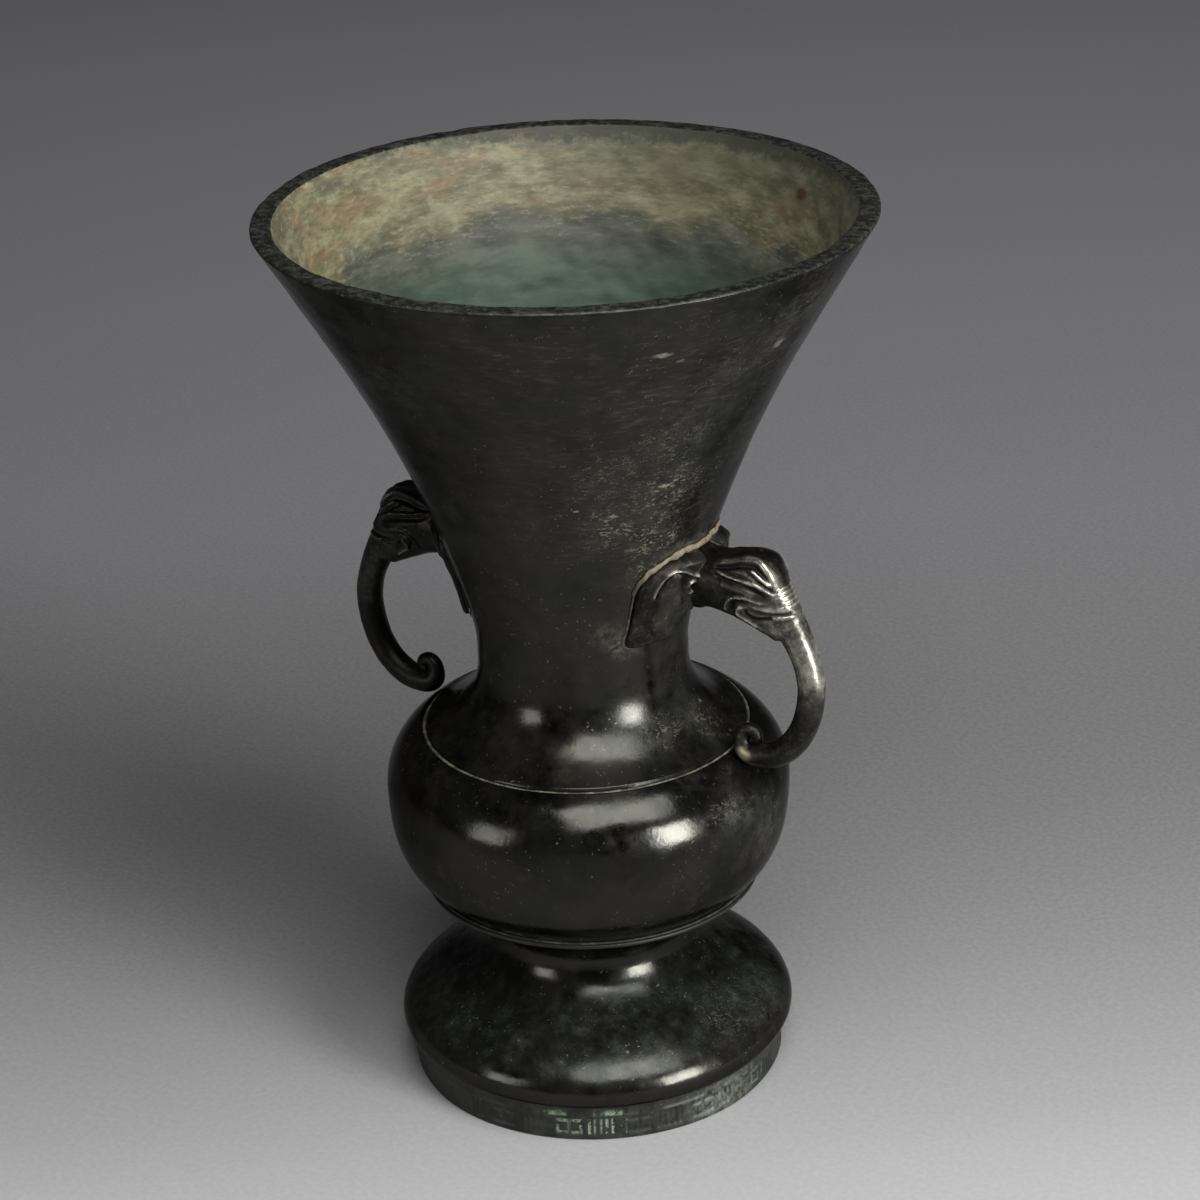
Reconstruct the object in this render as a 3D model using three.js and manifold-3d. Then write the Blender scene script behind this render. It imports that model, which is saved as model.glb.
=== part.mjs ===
// A bronze vase with a trumpet mouth, a round belly, a spreading foot and two elephant-head handles.
// Millimetres, +Z up. The origin is the centre of the foot's underside, and the handles lie on +X and -X.
// The body is three castings that fit into each other and are soldered at the shoulder and the waist.
// A floor plate closes the belly. Each handle has a tenon that passes through the neck and is peened inside.

import * as THREE from 'three';
import { mergeVertices } from 'three/addons/utils/BufferGeometryUtils.js';
import Module from 'manifold-3d';

const wasm = await Module();
wasm.setup();

// Fits and walls
const clearance = 0.3;
const wall = 3.2;
const seamWidth = 0.7;
const seamHeight = 1.0;

// Mouth and neck
const rimRadius = 75;
const lipWidth = 5.4;
const lipRound = 0.8;
const coneHeight = 30.9;
const coneSlope = 0.58;
const trumpetHeight = 81.8;
const trumpetRise = 10;
const trumpetFlare = 33.4;
const neckRadius = 26.7;
const neckLength = 4.5;
const sweepHeight = 17.5;
const sweepFall = 9;
const sweepRun = 7;
const sweepAngle = 0.35;
const skirtEdge = 1.3;

// Belly
const bellyRadius = 51.7;
const bellyHeight = 41.2;
const crestHeight = 26;
const crownReach = 17.5;
const shoulderInset = 10;
const ledgeWidth = 2.7;
const ledgeDepth = 0.6;
const spigotLength = 4;
const underDrop = 16.2;
const underRun = 5.85;
const underAngle = 0.485;
const waistInset = 9.8;
const waistEdge = 1;

// Foot
const flangeWidth = 5.6;
const flangeThickness = 3;
const ridgeProud = 1.5;
const ridgeHeight = 1.8;
const ridgeNeck = 0.9;
const ridgeUndercut = 0.6;
const stemInset = 15;
const stemDrop = 15.4;
const flareSweep = 7.2;
const slopeRun = 14.1;
const slopeRise = 12.5;
const slopeAngle = 0.53;
const slopeStart = 2.6;
const slopeEnd = 3.6;
const footInset = 0.2;
const crestRise = 4.2;
const crestTangent = 6.9;
const bandInset = 3;
const bandHeight = 9.6;
const bandWidth = 4.4;
const footHeight = 54;

// Floor plate
const floorThickness = 2.2;
const filletWidth = 1.2;
const filletHeight = 1;

// Handles: heights are from the shoulder, reaches are from the neck's surface at the tenon
const handleRise = 47;
const headLength = 25;
const headHalfHeight = 7.8;
const headHalfWidth = 7.2;
const browRise = 1.1;
const chinReach = 2.4;
const chinDrop = 2.6;
const trunkReach = 32.2;
const trunkRadius = 3.4;
const trunkRootRadius = 4;
const trunkRootRun = 1.9;
const trunkRootFall = 3.4;
const trunkTaper = 0.004;
const curlReach = 15.2;
const curlRadius = 4.6;
const curlWidth = 5.8;
const curlGap = 3.4;
const curlRound = 1.15;
const curlLead = 3.6;
const bossRadius = 1.9;
const bossHeight = 0.7;
const bossTopRadius = 1.3;
const earWidth = 18.8;
const earHeight = 24;
const earThickness = 2.7;
const tenonRadius = 3.2;
const peenRadius = 4.8;
const peenThickness = 1.6;
const roveRadius = 7;
const roveThickness = 1.5;
const beadWidth = 1.6;
const beadThickness = 0.8;

// Facets
const turnSegments = 48;
const roundSegments = 24;
const trunkSides = 16;

// Heights worked out from the stack of castings
const waistZ = footHeight;
const floorZ = waistZ + flangeThickness;
const crestZ = waistZ + crestHeight;
const shoulderZ = waistZ + bellyHeight;
const neckBottomZ = shoulderZ + skirtEdge + sweepHeight;
const neckTopZ = neckBottomZ + neckLength;
const coneZ = neckTopZ + trumpetHeight;
const rimZ = coneZ + coneHeight;

// Radii worked out from the neighbours
const grooveRadius = bellyRadius - shoulderInset;
const skirtRadius = grooveRadius - seamWidth - clearance;
const spigotRadius = skirtRadius - ledgeWidth;
const waistRadius = bellyRadius - waistInset;
const flangeBore = waistRadius - flangeWidth;
const ridgeRadius = waistRadius + ridgeProud;
const stemTop = waistRadius - ridgeUndercut;
const footRadius = bellyRadius - footInset;
const bandRadius = footRadius - bandInset;

const bronze = { color: 0x2b2724, roughness: 0.42, metalness: 0.85 };
const wornBronze = { color: 0x35302a, roughness: 0.36, metalness: 0.85 };
const solder = { color: 0x8f8a72, roughness: 0.7, metalness: 0.35 };

// Points of a cubic curve, without its last point
function curve(start, startHandle, endHandle, end, steps) {
  const points = [start, startHandle, endHandle, end].map(([x, y]) => new THREE.Vector2(x, y));
  return new THREE.CubicBezierCurve(...points).getPoints(steps).slice(0, -1);
}

function point(radius, z) {
  return new THREE.Vector2(radius, z);
}

// An open line of points moved sideways, where a positive distance is to the right of its direction
function offset(points, distance) {
  return points.map((here, i) => {
    const before = points[Math.max(i - 1, 0)];
    const after = points[Math.min(i + 1, points.length - 1)];
    const along = after.clone().sub(before).normalize();
    return new THREE.Vector2(here.x + along.y * distance, here.y - along.x * distance);
  });
}

// The inner line of a wall: every second point of its outer line, moved in by the wall
function innerLine(outer) {
  return offset(outer, wall).filter((station, i) => i % 2 === 0);
}

// A line up to where it reaches a radius, ended on that radius
function until(line, radius) {
  const next = line.findIndex((station) => station.x > radius);
  if (next < 1) {
    return [...line, point(radius, line.at(-1).y)];
  }
  const share = (radius - line[next - 1].x) / (line[next].x - line[next - 1].x);
  return [...line.slice(0, next), line[next - 1].clone().lerp(line[next], share)];
}

// A body turned about Z from a closed outline of radius and height, given in either direction
function turned(points) {
  const outline = THREE.ShapeUtils.isClockWise(points) ? [...points].reverse() : points;
  const geometry = new THREE.LatheGeometry([...outline, outline[0].clone()], turnSegments);
  return geometry.rotateX(Math.PI / 2);
}

function toSolid(geometry) {
  const bare = geometry.clone();
  bare.deleteAttribute('normal');
  bare.deleteAttribute('uv');
  const merged = mergeVertices(bare, 1e-4);
  const faces = [];
  for (let i = 0; i < merged.index.count; i += 3) {
    const [a, b, c] = merged.index.array.slice(i, i + 3);
    if (a !== b && b !== c && c !== a) {
      faces.push(a, b, c);
    }
  }
  return new wasm.Manifold(new wasm.Mesh({
    numProp: 3,
    vertProperties: new Float32Array(merged.attributes.position.array),
    triVerts: new Uint32Array(faces),
  }));
}

function toGeometry(solid) {
  const mesh = solid.getMesh();
  const geometry = new THREE.BufferGeometry();
  geometry.setAttribute('position', new THREE.BufferAttribute(mesh.vertProperties, 3));
  geometry.setIndex(new THREE.BufferAttribute(mesh.triVerts, 1));
  return geometry;
}

function piece(name, geometry, finish) {
  geometry.computeVertexNormals();
  const mesh = new THREE.Mesh(geometry, new THREE.MeshStandardMaterial(finish));
  mesh.name = name;
  return mesh;
}

// Outer line of the trumpet and neck, from the rim down to the neck's foot
function neckOutline() {
  const coneRadius = rimRadius - coneSlope * (coneHeight - lipRound);
  const trumpet = curve(
    [coneRadius, coneZ],
    [coneRadius - coneSlope * trumpetFlare, coneZ - trumpetFlare],
    [neckRadius, neckTopZ + trumpetRise],
    [neckRadius, neckTopZ],
    10,
  );
  const neck = [point(neckRadius, neckTopZ), point(neckRadius, neckBottomZ)];
  return [point(rimRadius, rimZ - lipRound), ...trumpet, ...neck];
}

// Outer line of the sweep from the neck's foot to the edge of the skirt
function sweepOutline() {
  const edgeZ = shoulderZ + skirtEdge;
  const sweep = curve(
    [neckRadius, neckBottomZ],
    [neckRadius, neckBottomZ - sweepFall],
    [skirtRadius - sweepRun * Math.cos(sweepAngle), edgeZ + sweepRun * Math.sin(sweepAngle)],
    [skirtRadius, edgeZ],
    6,
  );
  return [...sweep.slice(1), point(skirtRadius, edgeZ)];
}

// Radius of the neck's outer surface at a height
function neckRadiusAt(z) {
  const line = neckOutline();
  const below = line.findIndex((station) => station.y <= z);
  const low = line[below];
  const high = line[below - 1];
  return low.x + (high.x - low.x) * (z - low.y) / (high.y - low.y);
}

// Height of the belly's crown at a radius
function crownHeightAt(radius) {
  const centre = bellyRadius - crownReach;
  const reach = (grooveRadius - centre) / crownReach;
  const crown = (shoulderZ + ledgeDepth - crestZ) / Math.sqrt(1 - reach * reach);
  const across = THREE.MathUtils.clamp((radius - centre) / crownReach, 0, 1);
  return crestZ + crown * Math.sqrt(1 - across * across);
}

// Places of the handles, from the neck's wall and the belly's crown, and a length past the neck's wall
const tenonZ = shoulderZ + handleRise;
const rootX = neckRadiusAt(tenonZ);
const curlX = rootX + curlReach;
const curlZ = crownHeightAt(curlX) + curlGap + curlRadius;
const chin = point(rootX + headLength + chinReach, tenonZ - headHalfHeight - chinDrop);
const pastWall = rootX * 1.5;

function neckSection() {
  const outer = [...neckOutline(), ...sweepOutline()];
  const spigotBore = spigotRadius - wall;
  const inner = [...innerLine(neckOutline().slice(1)), ...until(offset(sweepOutline(), wall), spigotBore)];
  const lip = [
    point(rimRadius - lipWidth + lipRound, rimZ),
    point(rimRadius - lipRound, rimZ),
    point(rimRadius - lipRound * 0.3, rimZ - lipRound * 0.3),
  ];
  const seat = [
    point(skirtRadius, shoulderZ),
    point(spigotRadius, shoulderZ),
    point(spigotRadius, shoulderZ - spigotLength),
    point(spigotBore, shoulderZ - spigotLength),
  ];
  const body = [...lip, ...outer, ...seat, ...inner.reverse(), point(rimRadius - lipWidth, rimZ - lipRound)];
  let solid = toSolid(turned(body));
  for (const turn of [0, Math.PI]) {
    const hole = rod(tenonRadius + clearance, 0, pastWall).rotateZ(turn);
    solid = solid.subtract(toSolid(hole));
  }
  return toGeometry(solid);
}

function bellySection() {
  const crown = [];
  const crownSteps = 6;
  for (let i = 0; i < crownSteps; i += 1) {
    const angle = Math.acos((grooveRadius - bellyRadius + crownReach) / crownReach) * (1 - i / crownSteps);
    const radius = bellyRadius - crownReach * (1 - Math.cos(angle));
    crown.push(point(radius, crownHeightAt(radius)));
  }
  const endZ = waistZ + waistEdge;
  const under = curve(
    [bellyRadius, crestZ],
    [bellyRadius, crestZ - underDrop],
    [waistRadius + underRun * Math.cos(underAngle), endZ + underRun * Math.sin(underAngle)],
    [waistRadius, endZ],
    7,
  );
  const outer = [...crown, ...under, point(waistRadius, endZ)];
  const bore = spigotRadius + clearance;
  const inner = innerLine(outer).filter((station) => station.x > bore && station.y > floorZ);
  const ledge = [point(bore, shoulderZ), point(grooveRadius, shoulderZ)];
  const flange = [
    point(waistRadius, waistZ),
    point(flangeBore + clearance, waistZ),
    point(flangeBore + clearance, floorZ),
    point(Math.min(inner.at(-1).x, waistRadius - wall / 2), floorZ),
  ];
  return turned([...ledge, ...outer, ...flange, ...inner.reverse(), point(bore, inner.at(-1).y)]);
}

function footSection() {
  const neckZ = waistZ - ridgeHeight;
  const narrowZ = waistZ - stemDrop;
  const stemRadius = stemTop - stemInset;
  const ridge = [
    point(ridgeRadius - ridgeHeight / 4, waistZ),
    point(ridgeRadius, waistZ - ridgeHeight / 4),
    point(ridgeRadius, waistZ - ridgeHeight / 2),
    point(stemTop + ridgeNeck, neckZ),
  ];
  const stem = curve(
    [stemTop, neckZ - ridgeUndercut],
    [stemTop - stemInset * 0.7, neckZ - ridgeUndercut - stemInset * 0.35],
    [stemRadius, narrowZ + stemInset * 0.4],
    [stemRadius, narrowZ],
    4,
  );
  const domeZ = bandHeight + crestRise;
  const slope = point(footRadius - slopeRun, domeZ + slopeRise);
  const fall = point(Math.cos(slopeAngle), -Math.sin(slopeAngle));
  const flare = curve(
    [stemRadius, narrowZ],
    [stemRadius, narrowZ - flareSweep],
    [slope.x - fall.x * slopeStart, slope.y - fall.y * slopeStart],
    [slope.x, slope.y],
    6,
  );
  const dome = curve(
    [slope.x, slope.y],
    [slope.x + fall.x * slopeEnd, slope.y + fall.y * slopeEnd],
    [footRadius, domeZ + crestTangent],
    [footRadius, domeZ],
    6,
  );
  const edge = curve(
    [footRadius, domeZ],
    [footRadius, domeZ - crestRise / 2],
    [bandRadius + bandInset / 2, bandHeight + crestRise / 4],
    [bandRadius, bandHeight],
    3,
  );
  const skin = [...stem, ...flare, ...dome, ...edge];
  const outer = [...ridge, ...skin, point(bandRadius, bandHeight), point(bandRadius, 0)];
  const bore = bandRadius - bandWidth;
  const inner = innerLine(skin).filter((station) => station.y > bandHeight + wall / 2);
  const spigotBore = flangeBore - wall;
  const mouth = [point(bore, 0), point(bore, bandHeight)];
  const spigot = [
    point(Math.min(inner[0].x, spigotBore), waistZ - flangeThickness),
    point(spigotBore, waistZ),
    point(spigotBore, floorZ),
    point(flangeBore, floorZ),
    point(flangeBore, waistZ),
  ];
  return turned([...outer, ...mouth, ...inner.reverse().slice(0, -1), ...spigot]);
}

// Disc that rests on the top of the foot's spigot and the belly's flange
function floorPlate() {
  const radius = floorRadius();
  return turned([
    point(0, floorZ),
    point(radius, floorZ),
    point(radius, floorZ + floorThickness),
    point(0, floorZ + floorThickness),
  ]);
}

function floorRadius() {
  return waistRadius - wall / 2 - filletWidth - 2 * clearance;
}

// A solder ring on a flat seat, with a chamfered outer corner
function seamRing(innerRadius, z, width, tall) {
  return turned([
    point(innerRadius, z),
    point(innerRadius + width, z),
    point(innerRadius + width, z + tall / 2),
    point(innerRadius + width / 2, z + tall),
    point(innerRadius, z + tall),
  ]);
}

// A round rod along X, at the height of the tenons
function rod(radius, from, to) {
  const geometry = new THREE.CylinderGeometry(radius, radius, to - from, roundSegments);
  return geometry.rotateZ(Math.PI / 2).translate((from + to) / 2, 0, tenonZ);
}

// Part of the neck's wall line that the handles cover, from above their ears to below them
function wallLine(depth) {
  const reach = earHeight * 1.4;
  const line = neckOutline().slice(1);
  return offset(line, depth).filter((station) => Math.abs(station.y - tenonZ) < reach);
}

// A shell that follows the neck's wall between two distances from its outer surface
function wallShell(near, far) {
  return toSolid(turned([...wallLine(-far), ...wallLine(-near).reverse()]));
}

// The neck's wall filled to the axis, so that a handle can be cut to sit on it
function wallCore(distance) {
  const line = wallLine(-distance);
  return toSolid(turned([...line, point(0, line.at(-1).y), point(0, line[0].y)]));
}

// Outline of the two ears and the head's root as seen along X, grown by a distance.
// Each point is a share of the ears' width, and a height from their top or bottom.
function footprint(grow) {
  const top = tenonZ + headHalfHeight + browRise;
  const bottom = top - earHeight;
  const half = [
    [0, top],
    [earWidth * 0.5, top - 1],
    [earWidth * 0.86, top - 3.2],
    [earWidth, top - 7.2],
    [earWidth * 0.95, top - earHeight * 0.66],
    [earWidth * 0.97, bottom + 1.4],
    [earWidth * 0.82, bottom],
    [earWidth * 0.6, bottom + 0.6],
    [earWidth * 0.4, bottom + 2.6],
    [earWidth * 0.27, bottom + 6],
    [0, bottom + 7],
  ];
  const mirrored = half.slice(1, -1).reverse().map(([y, z]) => [-y, z]);
  const loop = [...half, ...mirrored].map(([y, z]) => new THREE.Vector2(y, z));
  const count = loop.length;
  return loop.map((here, i) => {
    const along = loop[(i + 1) % count].clone().sub(loop[(i + count - 1) % count]).normalize();
    return new THREE.Vector2(here.x - along.y * grow, here.y + along.x * grow);
  });
}

// A prism along X through the footprint
function footprintPrism(grow) {
  const shape = new THREE.Shape(footprint(grow));
  const geometry = new THREE.ExtrudeGeometry(shape, { depth: pastWall, bevelEnabled: false });
  geometry.applyMatrix4(new THREE.Matrix4().makeBasis(
    new THREE.Vector3(0, 1, 0),
    new THREE.Vector3(0, 0, 1),
    new THREE.Vector3(1, 0, 0),
  ));
  return toSolid(geometry);
}

// A closed body through oval sections, each with a top, a bottom and a half width along Y
function loft(sections) {
  const positions = [];
  const faces = [];
  for (const { top, bottom, half } of sections) {
    for (let k = 0; k < trunkSides; k += 1) {
      const angle = 2 * Math.PI * k / trunkSides;
      const middle = top.clone().add(bottom).divideScalar(2);
      const up = top.clone().sub(middle).multiplyScalar(Math.cos(angle));
      positions.push(middle.x + up.x, Math.sin(angle) * half, middle.y + up.y);
    }
  }
  for (let i = 0; i < sections.length - 1; i += 1) {
    for (let k = 0; k < trunkSides; k += 1) {
      const a = i * trunkSides + k;
      const b = i * trunkSides + (k + 1) % trunkSides;
      faces.push(a, a + trunkSides, b, b, a + trunkSides, b + trunkSides);
    }
  }
  const last = (sections.length - 1) * trunkSides;
  for (let k = 1; k < trunkSides - 1; k += 1) {
    faces.push(0, k, k + 1);
    faces.push(last, last + k + 1, last + k);
  }
  const geometry = new THREE.BufferGeometry();
  geometry.setAttribute('position', new THREE.Float32BufferAttribute(positions, 3));
  geometry.setIndex(faces);
  return geometry;
}

// Sections of the elephant's head, from inside the neck's wall to the root of the trunk.
// Reaches are shares of the head's length, and heights are from the tenon's axis.
function headSections() {
  const section = (topX, topZ, bottomX, bottomZ, half) => ({
    top: new THREE.Vector2(rootX + topX, tenonZ + topZ),
    bottom: new THREE.Vector2(rootX + bottomX, tenonZ + bottomZ),
    half,
  });
  const high = headHalfHeight;
  const wide = headHalfWidth;
  const long = headLength;
  return [
    section(-wall / 2, high, -wall / 2, -high, wide * 0.94),
    section(long * 0.25, high, long * 0.25, -high, wide * 0.97),
    section(long * 0.5, high, long * 0.5, -high - browRise, wide),
    section(long * 0.8, high + browRise, long * 0.65, -high - 2.4 * browRise, wide * 0.95),
    section(long * 0.95, high * 0.93, long * 0.74, -high - 3 * browRise, wide * 0.86),
    section(long * 1, high * 0.55, long * 0.79, -high - 3.4 * browRise, wide * 0.75),
    section(long * 1.08, -high * 0.2, long * 0.87, -high - 4 * browRise, wide * 0.62),
  ];
}

// Sections of the trunk, down its outer sweep and in again under the curl
function trunkSections() {
  const rootSteps = 4;
  const outer = new THREE.Vector2(rootX + trunkReach, THREE.MathUtils.lerp(curlZ, chin.y, 0.55));
  const low = new THREE.Vector2(curlX + curlLead, curlZ - curlRadius + trunkRadius * 0.42);
  const fall = outer.y - low.y;
  const root = point(chin.x + trunkRadius * 0.23, chin.y - trunkRadius * 0.13);
  const upper = curve(
    [root.x, root.y],
    [root.x + trunkRootRun, root.y - trunkRootFall],
    [outer.x, outer.y + fall * 0.3],
    [outer.x, outer.y],
    rootSteps,
  );
  const lower = curve(
    [outer.x, outer.y],
    [outer.x, outer.y - fall * 0.62],
    [low.x + fall * 0.46, low.y],
    [low.x, low.y],
    8,
  );
  const line = [...upper, ...lower, low, new THREE.Vector2(curlX, low.y + trunkRadius * 0.2)];
  return line.map((here, i) => {
    const before = line[Math.max(i - 1, 0)];
    const after = line[Math.min(i + 1, line.length - 1)];
    const along = after.clone().sub(before).normalize();
    const thinned = trunkRadius * (1 - trunkTaper * i);
    const half = Math.max(thinned, THREE.MathUtils.lerp(trunkRootRadius, trunkRadius, i / rootSteps));
    const side = new THREE.Vector2(-along.y, along.x).multiplyScalar(half);
    return { top: here.clone().add(side), bottom: here.clone().sub(side), half };
  });
}

// The round end of the trunk, with a small boss on each side
function curl() {
  const half = curlWidth / 2;
  const upper = [
    point(curlRadius, half - curlRound),
    point(curlRadius - curlRound, half),
    point(bossRadius, half),
    point(bossTopRadius, half + bossHeight),
    point(0, half + bossHeight),
  ];
  const lower = upper.map((station) => point(station.x, -station.y)).reverse();
  const geometry = new THREE.LatheGeometry([...lower, ...upper], roundSegments);
  return geometry.translate(curlX, 0, curlZ);
}

function handle() {
  const ears = footprintPrism(0).intersect(wallShell(clearance, clearance + earThickness));
  const head = toSolid(loft([...headSections(), ...trunkSections()])).subtract(wallCore(clearance));
  const peenFar = wall + 2 * clearance + roveThickness + peenThickness;
  const peen = toSolid(rod(peenRadius, 0, pastWall))
    .intersect(wallShell(-peenFar, -(peenFar - peenThickness)));
  const tenon = toSolid(rod(tenonRadius, rootX - peenFar + peenThickness / 2, rootX + wall));
  return toGeometry(head.add(ears).add(toSolid(curl())).add(peen).add(tenon));
}

// Washer against the inside of the neck, under the peened end of the tenon
function rove() {
  const disc = toSolid(rod(roveRadius, 0, pastWall));
  const hole = toSolid(rod(tenonRadius + clearance, 0, pastWall));
  const near = wall + clearance;
  return toGeometry(disc.intersect(wallShell(-(near + roveThickness), -near)).subtract(hole));
}

// Bead of solder on the neck, round the outline of the ears and the head
function handleBead() {
  const band = footprintPrism(clearance + beadWidth).subtract(footprintPrism(clearance));
  return toGeometry(band.intersect(wallShell(clearance, clearance + beadThickness)));
}

const vase = new THREE.Group();
vase.add(piece('neck_section', neckSection(), bronze));
vase.add(piece('belly_section', bellySection(), bronze));
vase.add(piece('foot_section', footSection(), bronze));
vase.add(piece('floor_plate', floorPlate(), bronze));
vase.add(piece('shoulder_solder', seamRing(skirtRadius + clearance, shoulderZ, seamWidth, seamHeight), solder));
vase.add(piece('waist_solder', seamRing(waistRadius + clearance, waistZ, seamWidth, seamHeight / 2), solder));
vase.add(piece('floor_solder', seamRing(floorRadius() + clearance, floorZ, filletWidth, filletHeight), solder));
for (const [side, turn] of [['right', 0], ['left', Math.PI]]) {
  const fitting = new THREE.Group();
  fitting.rotation.z = turn;
  fitting.add(piece(`${side}_handle`, handle(), wornBronze));
  fitting.add(piece(`${side}_rove`, rove(), bronze));
  fitting.add(piece(`${side}_handle_solder`, handleBead(), solder));
  vase.add(fitting);
}

export default vase;
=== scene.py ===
"""Scene of a bronze vase with two elephant-head handles. Lengths are in millimetres until a mesh is made."""

import math

import bpy
import numpy as np
from mathutils import Matrix, Vector


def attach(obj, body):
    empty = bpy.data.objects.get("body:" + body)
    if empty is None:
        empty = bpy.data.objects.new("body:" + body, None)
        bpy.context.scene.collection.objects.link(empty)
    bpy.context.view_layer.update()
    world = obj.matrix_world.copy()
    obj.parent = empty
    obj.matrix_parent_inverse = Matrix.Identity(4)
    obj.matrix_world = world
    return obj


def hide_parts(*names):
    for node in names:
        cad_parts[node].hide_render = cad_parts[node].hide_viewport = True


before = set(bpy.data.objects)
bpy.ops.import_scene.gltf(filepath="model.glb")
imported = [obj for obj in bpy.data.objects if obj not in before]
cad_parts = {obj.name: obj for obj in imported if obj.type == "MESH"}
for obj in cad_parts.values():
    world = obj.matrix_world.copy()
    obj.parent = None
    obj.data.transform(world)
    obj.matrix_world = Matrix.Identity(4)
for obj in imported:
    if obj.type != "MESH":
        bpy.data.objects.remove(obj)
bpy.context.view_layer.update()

MM = 0.001
TURN = math.radians(31)  # from the photograph's front to the part's front
FRONT = math.radians(-59)  # azimuth of the side that faces the camera

# Sizes of the part in millimetres
WALL = 3.2
RIM_Z = 231.2
NECK_RADIUS = 26.7
SKIRT_RADIUS, SKIRT_Z = 40.7, 96.5
SEAT_Z = 95.2
SPIGOT_BORE = 34.8
FLOOR_Z = 57.0
WAIST_Z = 54.0
STEM_RADIUS = 26.3
BAND_RADIUS, BAND_TOP = 48.5, 9.6
TENON_Z = 142.2

# How finely the meshes are divided round
CASTING_SIDES = 320
RING_SIDES = 360
HANDLE_SIDES = 128
EAR_RINGS = 46


def smooth(value, low, high):
    """0 below low, 1 above high, and a soft step between."""
    t = np.clip((np.asarray(value, float) - low) / (high - low), 0, 1)
    return t * t * (3 - 2 * t)


def bezier(a, b, c, d, steps):
    """Points of a cubic curve."""
    t = np.linspace(0, 1, steps + 1)[:, None]
    a, b, c, d = (np.array(p, float) for p in (a, b, c, d))
    return a * (1 - t) ** 3 + 3 * b * t * (1 - t) ** 2 + 3 * c * t**2 * (1 - t) + d * t**3


def through(rows, steps):
    """A smooth line through rows of numbers, with steps points between two rows."""
    rows = np.array(rows, float)
    padded = np.vstack([2 * rows[0] - rows[1], rows, 2 * rows[-1] - rows[-2]])
    out = []
    for a, b, c, d in zip(padded[:-3], padded[1:-2], padded[2:-1], padded[3:]):
        t = np.linspace(0, 1, steps, endpoint=False)[:, None]
        square, cube = 2 * a - 5 * b + 4 * c - d, 3 * b - 3 * c + d - a
        out.append(0.5 * (2 * b + (c - a) * t + square * t**2 + cube * t**3))
    return np.vstack(out + [rows[-1:]])


def spaced(points, gap):
    """A polyline with more points, no further apart than gap."""
    points = np.array(points, float)
    out = [points[0]]
    for a, b in zip(points[:-1], points[1:]):
        count = max(1, int(math.ceil(np.linalg.norm(b - a) / gap)))
        for k in range(1, count + 1):
            out.append(a + (b - a) * k / count)
    return np.array(out)


def unit(rows):
    """Vectors scaled to a length of 1."""
    return rows / np.linalg.norm(rows, axis=-1, keepdims=True)


def shifted(line, distance):
    """An open line moved sideways, where a positive distance is to the right of its direction."""
    along = unit(np.gradient(line, axis=0))
    return line + np.c_[along[:, 1], -along[:, 0]] * distance


def waves(points, size, seed, count=14):
    """Smooth noise from -1 to 1 whose bumps are about size wide."""
    rng = np.random.default_rng(seed)
    total = np.zeros(points.shape[:-1])
    for _ in range(count):
        direction = unit(rng.normal(size=3))
        pitch = 2 * math.pi / (size * rng.uniform(0.7, 1.6))
        total += np.sin(points @ direction * pitch + rng.uniform(0, 2 * math.pi))
    return total / math.sqrt(count)


def to_line(points, line):
    """Distance of 2-D points from a polyline, and how far along it they are, from 0 to 1."""
    line = np.array(line, float)
    lengths = np.linalg.norm(np.diff(line, axis=0), axis=1)
    starts = np.concatenate([[0], np.cumsum(lengths)])
    best = np.full(points.shape[:-1], 1e9)
    place = np.zeros(points.shape[:-1])
    for k, (a, b) in enumerate(zip(line[:-1], line[1:])):
        d = b - a
        t = np.clip(((points - a) @ d) / (d @ d), 0, 1)
        gap = np.linalg.norm(points - a - t[..., None] * d, axis=-1)
        nearer = gap < best
        best = np.where(nearer, gap, best)
        place = np.where(nearer, (starts[k] + t * lengths[k]) / starts[-1], place)
    return best, place


def crease(points, line, width, height, fade=0.12):
    """Height of a soft ridge, or with a negative height a groove, along a polyline."""
    gap, place = to_line(points, through(line, 6))
    ends = smooth(place, 0, fade) * (1 - smooth(place, 1 - fade, 1))
    return height * np.exp(-((gap / width) ** 2)) * (0.25 + 0.75 * ends)


def make(name, points, faces, materials, picks=None):
    """A smooth-shaded mesh object from millimetre points."""
    mesh = bpy.data.meshes.new(name)
    mesh.from_pydata((np.asarray(points, float) * MM).tolist(), [], [list(map(int, f)) for f in faces])
    for material in materials:
        mesh.materials.append(material)
    mesh.polygons.foreach_set("use_smooth", [True] * len(mesh.polygons))
    if picks is not None:
        mesh.polygons.foreach_set("material_index", np.asarray(picks, np.int32))
    mesh.update()
    thing = bpy.data.objects.new(name, mesh)
    bpy.context.collection.objects.link(thing)
    return thing


def marked(thing, name, values):
    """Keeps a value for each point of a mesh, which its material reads."""
    layer = thing.data.attributes.new(name, "FLOAT", "POINT")
    layer.data.foreach_set("value", np.asarray(values, np.float32).ravel())
    return thing


def wrapped(rows, columns, closed_rows=True):
    """Faces of a grid that wraps round its columns, and round its rows too unless they are left open."""
    i = np.arange(rows if closed_rows else rows - 1)[:, None]
    k = np.arange(columns)[None, :]
    a = i * columns + k
    b = i * columns + (k + 1) % columns
    c = ((i + 1) % rows) * columns + (k + 1) % columns
    d = ((i + 1) % rows) * columns + k
    return np.stack([a, b, c, d], -1).reshape(-1, 4)


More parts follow.
